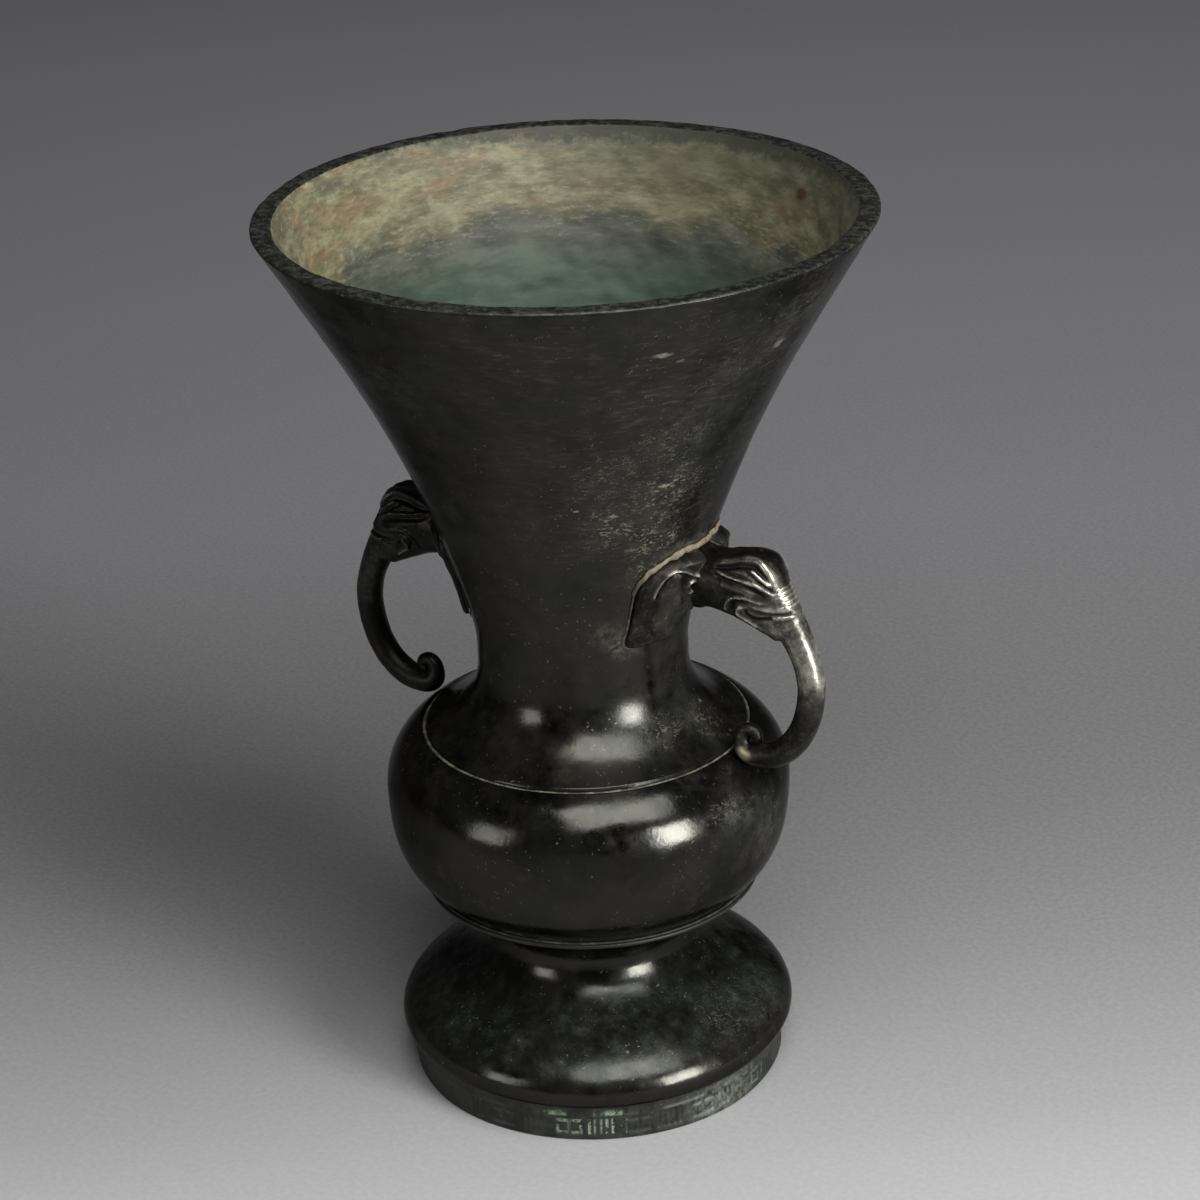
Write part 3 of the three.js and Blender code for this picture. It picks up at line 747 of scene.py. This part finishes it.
def on_neck(side, z, proud):
    """A point at a sideways distance and a height, standing proud of the neck at the right handle."""
    radius = neck_radius(z)
    lean = 1 / np.sqrt(1 + neck_slope(z) ** 2)
    angle = np.arcsin(np.clip(side / radius, -1, 1))
    return round_axis(radius + proud * lean, angle, z - proud * lean * neck_slope(z))


def make_at(side, name, points, faces, material):
    """A mesh from points of the right handle, turned half round to the left one where side is -1."""
    return make(name, points * [side, side, 1], faces, [material])


# The head as rows of top radius, top height, bottom radius, bottom height and half width
HEAD = [
    (33.2, 149.9, 28.6, 134.6, 6.6), (36, 150.1, 34.5, 134.5, 6.9), (40, 150, 39, 134.6, 7.1),
    (45, 150.3, 43.5, 133.7, 7.2), (50.5, 151.2, 47.2, 132.3, 6.95), (54.6, 150.6, 49.8, 131.1, 6.3),
    (56.9, 147.7, 51.6, 130.2, 5.55), (58.1, 144, 53.1, 129.6, 4.9), (60.2, 139.9, 55, 128.6, 4.25),
]

# The trunk as rows of distance from the vase's axis, height and radius, and the centre of its curl
TRUNK = [
    (60.15, 130.9, 3.85), (62.6, 125.4, 3.55), (64.1, 119.3, 3.45), (63.9, 113.2, 3.4), (62.4, 107.3, 3.35),
    (59.6, 102, 3.35), (55.9, 98.3, 3.4), (51.6, 96.5, 3.35),
]
CURL = (47.4, 100.4)

# The curl at the trunk's tip: how far round in degrees, distance from the curl's centre and trunk radius
CURL_TURNS = (
    (-88, 4.2, 3.15), (-125, 3.4, 2.7), (-163, 2.6, 2.2), (-205, 2.3, 1.95), (-250, 2.2, 1.8),
    (-300, 2.0, 1.65), (-350, 1.65, 1.5), (-400, 1.15, 1.3), (-450, 0.55, 1.05),
)

# The head's relief as lines of (distance from the vase's axis, height), with the width and height of each
# ridge or, where the height is negative, groove
HEAD_LINES = [
    ([(41, 148.2), (42.4, 148.5), (45.7, 149.2), (48.1, 149.9), (50.8, 150.2), (52.8, 149.6), (55, 147.6),
      (56.6, 144.4)], 0.75, 0.75),
    ([(40.1, 147.7), (41.2, 147.5), (45.1, 148), (47.6, 148.7), (51.2, 148.9), (52.5, 148.3),
      (54.5, 146.7), (56, 145)], 0.42, -0.7),
    ([(50.5, 148.3), (51.6, 147.7), (52.5, 147.1), (54, 146), (55.6, 144.6)], 0.36, 0.8),
    ([(49.2, 147.6), (51.6, 146.8), (52.7, 145.9), (54.5, 144.6), (56.3, 142.9)], 0.34, -0.6),
    ([(40.3, 147.2), (42.2, 146.7), (43.8, 146.3), (47, 145.8), (49.7, 145.5), (52, 145), (54.3, 143.9),
      (56.2, 142.4)], 0.4, 0.6),
    ([(45, 147.2), (47.6, 147.4), (49.7, 147), (51.3, 146.4)], 0.3, 0.35),
    ([(44.2, 146.8), (46.8, 146.6), (48.2, 146.5), (50, 146.1), (51.9, 145.6)], 0.26, -0.35),
    ([(40.8, 146.5), (42.7, 145.6), (44.8, 145.1), (47.1, 144.8), (48.7, 144.5), (50.9, 144), (53.3, 143),
      (54.9, 142.2)], 0.5, -0.55),
    ([(42.8, 144.2), (47.3, 143.3), (49.9, 142.8), (52.6, 142.1)], 0.9, 0.35),
    ([(45.4, 141.6), (47.3, 142.1), (50, 142.1)], 0.35, -0.35),
    ([(44.2, 136.2), (44.3, 138.3), (45.3, 140), (46.6, 141), (48.6, 141.4), (50.7, 141.3), (52.4, 140.9),
      (53.8, 140.5), (55.1, 140.3)], 0.36, 0.6),
    ([(46.2, 136.6), (45.9, 138.8), (47.3, 140), (49.7, 140.2)], 0.6, -0.65),
    ([(49.6, 138.9), (48.2, 138.6), (47.2, 137.3), (47.5, 136.2), (49, 135.2), (50.6, 134.1),
      (52, 132.9)], 0.4, 0.65),
    ([(49.6, 138.1), (49.6, 136.9), (51, 135.7), (52.8, 135.5), (54.7, 136), (56.6, 136.4)], 0.5, -0.8),
    ([(51, 139.4), (53.3, 139), (55.9, 138.6), (58, 138.5), (59.7, 138.6), (60.9, 138.9)], 0.6, 0.3),
    ([(52, 137.8), (54.9, 137.5), (57.6, 137.4), (59.3, 137.5), (61, 137.6)], 0.34, -0.45),
    ([(55, 135.8), (56.6, 136.4), (58.4, 136.7), (60.2, 136.9), (61.6, 137)], 0.42, 0.45),
]

# Raised rings round the root of the trunk, as lines of points of the same kind
RINGS = [
    [(57.0, 143.2), (57.6, 143.4), (58.2, 143.9)],
    [(56.9, 142.4), (57.8, 142.4), (58.7, 142.8)],
    [(57.4, 141.3), (58.4, 141.3), (59.3, 141.7)],
    [(58.0, 140.2), (59.0, 140.2), (59.9, 140.6)],
    [(58.6, 139.2), (59.7, 139.2), (60.6, 139.6)],
]

# The ear's outline and relief in (sideways distance, height), where the lines end with how softly they fade
EAR = [
    (-3, 150.4), (-6, 151), (-9.2, 150.9), (-12.6, 150.2), (-15.4, 148.8), (-17.3, 146.9), (-18.3, 144.4),
    (-18.1, 141), (-17.6, 136.8), (-17.2, 132.4), (-17.3, 129.6), (-16.9, 127.7), (-15.6, 127),
    (-13.4, 127.1), (-11, 127.6), (-8.6, 128.5), (-6.2, 130.1), (-4.4, 132.3), (-3.2, 135.2), (-2.6, 140),
    (-2.6, 146),
]
EAR_LINES = [
    ([(-15.3, 141), (-15.5, 143.6), (-15.2, 145.8), (-14.3, 148), (-12.4, 149.4), (-10, 148.8),
      (-7.6, 147.3), (-5.4, 146.2), (-4.2, 144.6), (-4, 142.9)], 0.42, 0.95, 0.1),
    ([(-14.3, 140.5), (-14.5, 143.4), (-14, 145.6), (-13.1, 147.2), (-11.6, 148.1), (-9.6, 147.4)], 0.5,
      -0.75, 0.15),
    ([(-14.4, 141.5), (-14.2, 137.2), (-13.6, 132.6), (-12.3, 129.4)], 0.7, -0.35, 0.2),
    ([(-9.3, 147.6), (-8.7, 144.4), (-8, 140.6), (-6.8, 137.2)], 0.7, -0.4, 0.2),
]
EAR_MIDDLE = np.array([-10.4, 139.2])
EAR_PIT = (-6.3, 143.3)


def handle_grid():
    """Grid of points of the head and trunk, their directions outwards, and how many rows the head has."""
    head = through(HEAD, 20)
    turns = np.radians([turn for turn, _, _ in CURL_TURNS])
    curl = [(CURL[0] + reach * math.cos(a), CURL[1] + reach * math.sin(a), radius)
            for a, (_, reach, radius) in zip(turns, CURL_TURNS)]
    centre = through(TRUNK + curl, 12)
    along = unit(np.gradient(centre[:, :2], axis=0))
    side = np.c_[-along[:, 1], along[:, 0]]
    top = centre[:, :2] + side * centre[:, 2:]
    bottom = centre[:, :2] - side * centre[:, 2:]
    trunk = np.c_[top, bottom, centre[:, 2]]
    gap = np.linspace(0, 1, 27)[1:-1, None]
    bridge = head[-1] * (1 - gap) + trunk[0] * gap
    rows = np.vstack([head, bridge, trunk])
    kernel = np.array([1, 2, 3, 2, 1]) / 9
    for _ in range(3):
        padded = np.vstack([rows[:1]] * 2 + [rows] + [rows[-1:]] * 2)
        rows = sum(w * padded[k:k + len(rows)] for k, w in enumerate(kernel))
    middle = (rows[:, :2] + rows[:, 2:4]) / 2
    up = (rows[:, :2] - rows[:, 2:4]) / 2
    lift = unit(up)
    angle = even_angles(HANDLE_SIDES)
    c, s = np.cos(angle), np.sin(angle)
    grid = np.stack([middle[:, :1] + up[:, :1] * c, rows[:, 4:] * s, middle[:, 1:] + up[:, 1:] * c], -1)
    out = np.stack([lift[:, :1] * c, 0 * lift[:, :1] + s, lift[:, 1:] * c], -1)
    return grid, unit(out), len(head)


def head_relief(grid):
    """Folds, eye, wrinkles and scrolls of the head, as heights on both of its sides."""
    place = grid[..., [0, 2]]
    flank = smooth(np.abs(grid[..., 1]), 1.0, 3.0)
    h = np.zeros(grid.shape[:-1])
    for line, width, height in HEAD_LINES:
        h += flank * crease(place, line, width, height)
    for line in RINGS:
        h += crease(place, line, 0.28, 0.42, 0.2)
    ahead = smooth(place[..., 0], 44, 53) * (1 - smooth(place[..., 0], 57.2, 58.6))
    ahead = ahead * smooth(place[..., 1], 142.5, 145)
    return h - 0.85 * ahead * np.exp(-((grid[..., 1] / 1.5) ** 2))


def build_head(name, side, material):
    """An elephant's head with its trunk, and how worn each of its points is, lowered on the left handle
    partly as painted shade.
    """
    grid, out, head_rows = handle_grid()
    rows = len(grid)
    share = smooth(head_rows + 34 - np.arange(rows), 0, 12)[:, None]
    relief = head_relief(grid) * share
    uneven = 0.05 * waves(grid, 7, 61) + 0.02 * waves(grid, 2.5, 62)
    x, z = grid[..., 0], grid[..., 2]
    boss = np.exp(-((np.hypot(x - CURL[0], z - CURL[1]) / 1.2) ** 2))
    boss = boss * smooth(np.arange(rows), rows - 36, rows - 12)[:, None]
    on_head = share * (1 - smooth(x, 52, 58)) * smooth(z, 136, 142)
    wear = 0.56 - 0.2 * on_head - 0.3 * smooth(z, 147.5, 150.5) + 0.75 * relief
    wear += 0.1 * smooth(132 - z, 0, 6) - 0.46 * smooth(121 - z, 0, 13)
    wear -= 0.22 * smooth(52 - x, 0, 8) * smooth(z, 128, 134)
    points, faces = capped(grid + out * (relief + uneven + 0.5 * boss)[..., None])
    faces = [face[::-1] for face in faces]
    # the left handle's values are lowered, which darkens it: partly darker patina, partly painted shade
    wear = np.concatenate([wear.ravel(), [0.3, 0.3]]) - (0.34 if side < 0 else 0)
    return marked(make_at(side, name, points, faces, material), "wear", wear)


def ear_height(place, edge):
    """How far the near ear stands proud of the neck, and its relief alone.

    place holds sideways and vertical places, and edge is the way in from the ear's rim.
    """
    side, z = place[..., 0], place[..., 1]
    lift = np.sqrt(1 - (1 - np.clip(edge / 1.1, 0, 1)) ** 2)
    thick = 1.3 + 2.3 * smooth(side, -16, -4.5) + 0.5 * smooth(z, 134, 144)
    relief = 0.5 * np.exp(-(((side + 10.8) / 2.6) ** 2 + ((z - 138.0) / 7.5) ** 2))
    for line, width, height, fade in EAR_LINES:
        relief += crease(place, line, width, height, fade)
    away = np.hypot(side - EAR_PIT[0], z - EAR_PIT[1])
    relief += 0.55 * np.exp(-(((away - 1.6) / 0.45) ** 2)) - 0.9 * np.exp(-((away / 0.85) ** 2))
    return thick * (0.06 + 0.94 * lift) + relief * lift, relief


def build_ear(name, side, mirror, material):
    """One ear, laid on the neck. mirror is 1 for the ear in front and -1 for the one behind."""
    outline = through(EAR + EAR[:1], 10)[:-1]
    share = np.sin(np.linspace(0, 1, EAR_RINGS) * math.pi / 2)[1:][::-1]
    flat = EAR_MIDDLE + (outline - EAR_MIDDLE)[None, :, :] * share[:, None, None]
    gap, _ = to_line(flat, np.vstack([outline, outline[:1]])[::2])
    gap[0] = 0
    height, relief = ear_height(flat, gap)
    height = height + 0.05 * waves(np.concatenate([flat, flat[..., :1]], -1), 3.5, 71)
    top = on_neck(flat[..., 0], flat[..., 1], 0.3 + height)
    under = on_neck(flat[..., 0], flat[..., 1], 0.3 + 0 * height)
    wear = 0.16 + 0.55 * relief + 0.3 * smooth(flat[..., 0], -9, -4.5) * smooth(flat[..., 1], 139, 146)
    wear = np.concatenate([wear[::-1], wear])
    points, faces = capped(np.concatenate([top[::-1], under]))
    if mirror > 0:
        faces = [face[::-1] for face in faces]
    # the left ears' values are lowered, which darkens them: partly darker patina, partly painted shade
    wear = np.concatenate([wear.ravel(), [0.2, 0.2]]) - (0.25 if side < 0 else 0)
    return marked(make_at(side, name, points * [1, mirror, 1], faces, material), "wear", wear)


def build_tenon(name, side, material):
    """The peened end of the tenon inside the neck, as a low dome."""
    angle = even_angles(48)
    slope = float(neck_slope(TENON_Z))
    axis = np.array([-1, 0, slope]) / math.hypot(1, slope)
    up = np.array([slope, 0, 1]) / math.hypot(1, slope)
    start = np.array([float(neck_radius(TENON_Z)), 0, TENON_Z])
    grid = []
    rows = ((5.1, 4.9), (5.5, 4.8), (5.9, 4.85), (6.4, 4.6), (6.9, 3.9), (7.25, 2.6), (7.4, 1.0))
    for depth, radius in rows:
        wobble = radius * (1 + 0.03 * np.sin(3 * angle + 1) + 0.02 * np.sin(7 * angle))
        loop = np.outer(np.cos(angle) * wobble, up) + np.outer(np.sin(angle) * wobble, [0, 1, 0])
        grid.append(start + axis * depth + loop)
    points, faces = capped(np.array(grid))
    return make_at(side, name, points, faces, material)


def build_rove(name, side, material):
    """The washer under the peened end, bent to the neck's inside."""
    angle = even_angles(72)
    section = ((3.5, -3.52), (6.6, -3.52), (7.0, -3.75), (7.0, -4.7), (6.7, -4.98), (3.7, -4.98), (3.5, -4.8))
    grid = []
    for radius, proud in section:
        grid.append(on_neck(np.sin(angle) * radius, TENON_Z + np.cos(angle) * radius, proud + 0 * angle))
    return make_at(side, name, np.vstack(grid), wrapped(len(section), len(angle)), material)


def side_of(loop, reach):
    """Unit vectors across a closed loop, from the points at a reach before and after each point."""
    along = unit(np.roll(loop, -reach, 0) - np.roll(loop, reach, 0))
    return np.c_[-along[:, 1], along[:, 0]]


def build_bead(name, side, material):
    """The uneven line of solder and old dirt round both ears and the head's root."""
    half = through(EAR, 10)
    half = half[half[:, 0] < -2.9]
    loop = np.vstack([half, half[::-1] * [-1, 1]])
    loop = loop - side_of(loop, 4) * 0.55
    dense = through(np.vstack([loop, loop[:1]]), 3)[:-1]
    across = side_of(dense, 3)
    keys = np.c_[dense, 0 * dense[:, 0]]
    width = 0.75 + 0.32 * waves(keys, 5, 81) + 0.16 * waves(keys, 1.8, 82)
    tall = 0.5 + 0.2 * waves(keys, 4, 83) + 0.1 * waves(keys, 1.2, 84)
    upper = 0.35 + 0.9 * smooth(dense[:, 1], 138, 150)
    width, tall = width.clip(0.25, 1.45) * upper, tall.clip(0.15, 0.85) * upper
    section = ((-1, 0.02), (-0.8, 0.5), (-0.35, 0.92), (0.1, 1))
    section += ((0.55, 0.8), (0.9, 0.4), (1, 0.02), (0.3, 0.01))
    grid = []
    for u, v in section:
        spot = dense + across * (u * width)[:, None]
        grid.append(on_neck(spot[:, 0], spot[:, 1], 0.02 + v * tall))
    return make_at(side, name, np.vstack(grid), wrapped(len(section), len(dense)), material)


# Where the coats lie, as rows of six: side in the photograph from its front, radius and height of a
# point of the vase, reach sideways, reach up and down, and share
NECK_CRUST = [
    (29, 44, 174, 13, 12, 0.8), (28, 38, 160, 11, 13, 1), (31, 33, 148, 10, 8, 1),
    (27, 52, 189, 17, 12, 0.4), (40, 62, 209, 22, 11, 0.18), (10, 40, 165, 10, 11, 0.75),
    (8, 47, 181, 12, 12, 0.4), (66, 34, 101, 9, 7, 0.5), (40, 32, 104, 8, 6, 0.4),
]
NECK_GREEN = [
    (20, 32, 104, 15, 8, 0.6), (60, 33, 103, 14, 9, 0.8), (-45, 60, 205, 18, 12, 0.5),
    (30, 55, 195, 24, 22, 0.35), (52, 66, 218, 16, 11, 0.8), (45, 40, 150, 16, 16, 0.45),
]
NECK_CHIPS = [
    (17.8, 66.7, 216, 3.4, 0.95, 0.55), (22, 65.5, 213.5, 1.6, 0.5, 0.35),
    (28, 44.5, 174.8, 2.6, 0.6, 0.65), (11.4, 41.6, 168.1, 1.9, 0.6, 0.4),
    (49, 63.1, 209.8, 2.6, 1.8, 0.35), (-0.5, 42.7, 170.5, 0.6, 0.5, 0.6),
    (71.5, 30.3, 103.9, 0.9, 0.8, 0.6), (68.5, 38.5, 97.4, 0.8, 0.6, 0.5),
]
NECK_DUST = [
    (22, 28, 128, 7, 7, 0.75), (12, 28, 131, 8, 6, 0.35), (32, 31, 142, 6, 9, 0.75),
    (50, 36, 152, 11, 5, 0.9),
]
BELLY_GREEN = [
    (48, 50, 85, 15, 9, 0.9), (60, 50, 76, 14, 13, 0.7), (10, 44, 93, 16, 3.5, 0.7),
    (-150, 48, 80, 26, 12, 0.6),
]
BELLY_CRUST = [(44, 49, 87, 10, 5, 0.25), (60, 50, 80, 8, 10, 0.15)]
FOOT_GREEN = [(70, 47, 20, 15, 9, 0.7), (-60, 47, 20, 15, 9, 0.35), (180, 44, 21, 28, 9, 0.5)]
FOOT_CRUST = [(55, 44, 24, 16, 9, 0.3)]
FRET_GREEN = [
    (-14, BAND_RADIUS, 4.5, 3.5, 7, 0.8), (-6, BAND_RADIUS, 4.5, 4, 7, 1), (3, BAND_RADIUS, 4.5, 4, 7, 1),
    (38, BAND_RADIUS, 4.5, 6, 7, 0.3), (56, BAND_RADIUS, 4.5, 4, 7, 0.4),
    (150, BAND_RADIUS, 4.5, 9, 7, 0.7), (-120, BAND_RADIUS, 4.5, 7, 7, 0.6),
]

neck_skin = bronze("neck_bronze", 0.13, 0.6, NECK_CRUST, NECK_GREEN, NECK_CHIPS, NECK_DUST, flare=True)
belly_skin = bronze("belly_bronze", 0.13, 0.3, BELLY_CRUST, BELLY_GREEN, waist_shade=(57.5, 55.5))
foot_skin = bronze("foot_bronze", 0.12, 0.25, FOOT_CRUST, FOOT_GREEN, waist_shade=(51.4, 52.4), band=True)
inside = inside_bronze()
hidden = bronze("inner_bronze", 0.45, 0.6)
handle_skin = handle_bronze()
seam = solder_paint("seam_solder", (0.105, 0.11, 0.08), (0.026, 0.027, 0.02))
waist_line = solder_paint("waist_solder_line", (0.034, 0.037, 0.026), (0.009, 0.009, 0.0075))
deposit = solder_paint("ear_deposit", (0.14, 0.118, 0.08), (0.022, 0.018, 0.012), 147)


# The pieces, each with the node that it replaces

FLOOR_DISC = [(0.01, FLOOR_Z), (38.0, FLOOR_Z), (38.5, 57.3), (38.5, 58.9)]
FLOOR_DISC += [(r, 59.2) for r in (38.2, 34, 28, 22, 16, 10, 5, 0.01)]
FLOOR_SEAM = [(38.8, FLOOR_Z), (40.0, 57.05), (39.9, 57.5), (39.4, 57.9), (38.9, 58.0)]
WAIST_SEAM = [(42.2, WAIST_Z), (42.9, WAIST_Z), (42.85, 54.25), (42.5, 54.45), (42.2, 54.35)]
SHOULDER_SEAM = [(40.74, 95.22), (41.72, 95.36), (41.66, 95.62), (41.45, 95.8), (41.1, 95.84), (40.8, 95.66)]


def dress(piece, nodes):
    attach(piece, "root")
    if nodes:
        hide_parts(*nodes)


dress(build_neck(neck_skin, inside), ["neck_section"])
dress(build_belly(belly_skin, hidden), ["belly_section"])
dress(build_foot(foot_skin, hidden), ["foot_section"])
dress(build_ring("belly_floor", FLOOR_DISC, hidden, 0.12, 51), ["floor_plate"])
dress(build_ring("shoulder_seam", SHOULDER_SEAM, seam, 0.06, 52), ["shoulder_solder"])
dress(build_ring("waist_seam", WAIST_SEAM, waist_line, 0.04, 53), ["waist_solder"])
dress(build_ring("floor_seam", FLOOR_SEAM, seam, 0.1, 54), ["floor_solder"])
for word, side in (("right", 1), ("left", -1)):
    dress(build_head(f"{word}_elephant_head", side, handle_skin), [f"{word}_handle"])
    dress(build_ear(f"{word}_ear_a", side, 1, handle_skin), [])
    dress(build_ear(f"{word}_ear_b", side, -1, handle_skin), [])
    dress(build_tenon(f"{word}_peened_end", side, hidden), [])
    dress(build_rove(f"{word}_washer", side, hidden), [f"{word}_rove"])
    dress(build_bead(f"{word}_ear_seam", side, deposit), [f"{word}_handle_solder"])


# Floor, lamps and camera

FLOOR_REACH = 12000
corners = [(x * FLOOR_REACH, y * FLOOR_REACH, 0) for x, y in ((-1, -1), (1, -1), (1, 1), (-1, 1))]
floor = make("studio_floor", corners, [(0, 1, 2, 3)], [painted_light_floor()])


def turned(x, y, z):
    """A photograph-frame point in millimetres as a part-frame point in metres."""
    c, s = math.cos(TURN), math.sin(TURN)
    return Vector((x * c - y * s, x * s + y * c, z)) * MM


def lamp(name, place, aim, width, tall, power):
    """A soft box at a place in the photograph's frame, turned to a point; its size is in metres."""
    data = bpy.data.lights.new(name, "AREA")
    data.shape = "RECTANGLE"
    data.size, data.size_y = width, tall
    data.energy = power
    thing = bpy.data.objects.new(name, data)
    thing.location = turned(*place)
    thing.rotation_euler = (turned(*aim) - thing.location).to_track_quat("-Z", "Y").to_euler()
    bpy.context.collection.objects.link(thing)


lamp("right_softbox", (874, -857, 315), (0, 0, 100), 0.42, 0.62, 26.5)
lamp("left_softbox", (-1013, -685, 316), (0, 0, 100), 0.36, 0.5, 3.2)
lamp("top_softbox", (170, -440, 830), (0, 0, 60), 0.72, 0.52, 10)

world = bpy.data.worlds.new("studio")
world.use_nodes = True
bpy.context.scene.world = world
background = world.node_tree.nodes["Background"]
background.inputs["Color"].default_value = (0.04, 0.04, 0.042, 1)
background.inputs["Strength"].default_value = 1.0

# The camera as fitted to the photograph: its angles in radians, and its place in millimetres
PITCH, YAW, ROLL = 0.4280, 0.0063, -0.0392
CAMERA_PLACE = (0, -745.79, 468.51)
LENS = 98.12

forward = Vector((math.sin(YAW) * math.cos(PITCH), math.cos(YAW) * math.cos(PITCH), -math.sin(PITCH)))
level = Vector((math.cos(YAW), -math.sin(YAW), 0))
upright = level.cross(forward)
across = level * math.cos(ROLL) + upright * math.sin(ROLL)
upward = upright * math.cos(ROLL) - level * math.sin(ROLL)
camera_data = bpy.data.cameras.new("photo_camera")
camera_data.sensor_fit = "HORIZONTAL"
camera_data.sensor_width = 36
camera_data.lens = LENS
camera_data.clip_end = 100
camera = bpy.data.objects.new("photo_camera", camera_data)
bpy.context.collection.objects.link(camera)
axes = Matrix((across, upward, -forward)).transposed().to_4x4()
stand = Matrix.Translation(Vector(CAMERA_PLACE) * MM)
camera.matrix_world = Matrix.Rotation(TURN, 4, "Z") @ stand @ axes
bpy.context.scene.camera = camera
bpy.context.scene.view_settings.view_transform = "Standard"

bpy.context.view_layer.update()
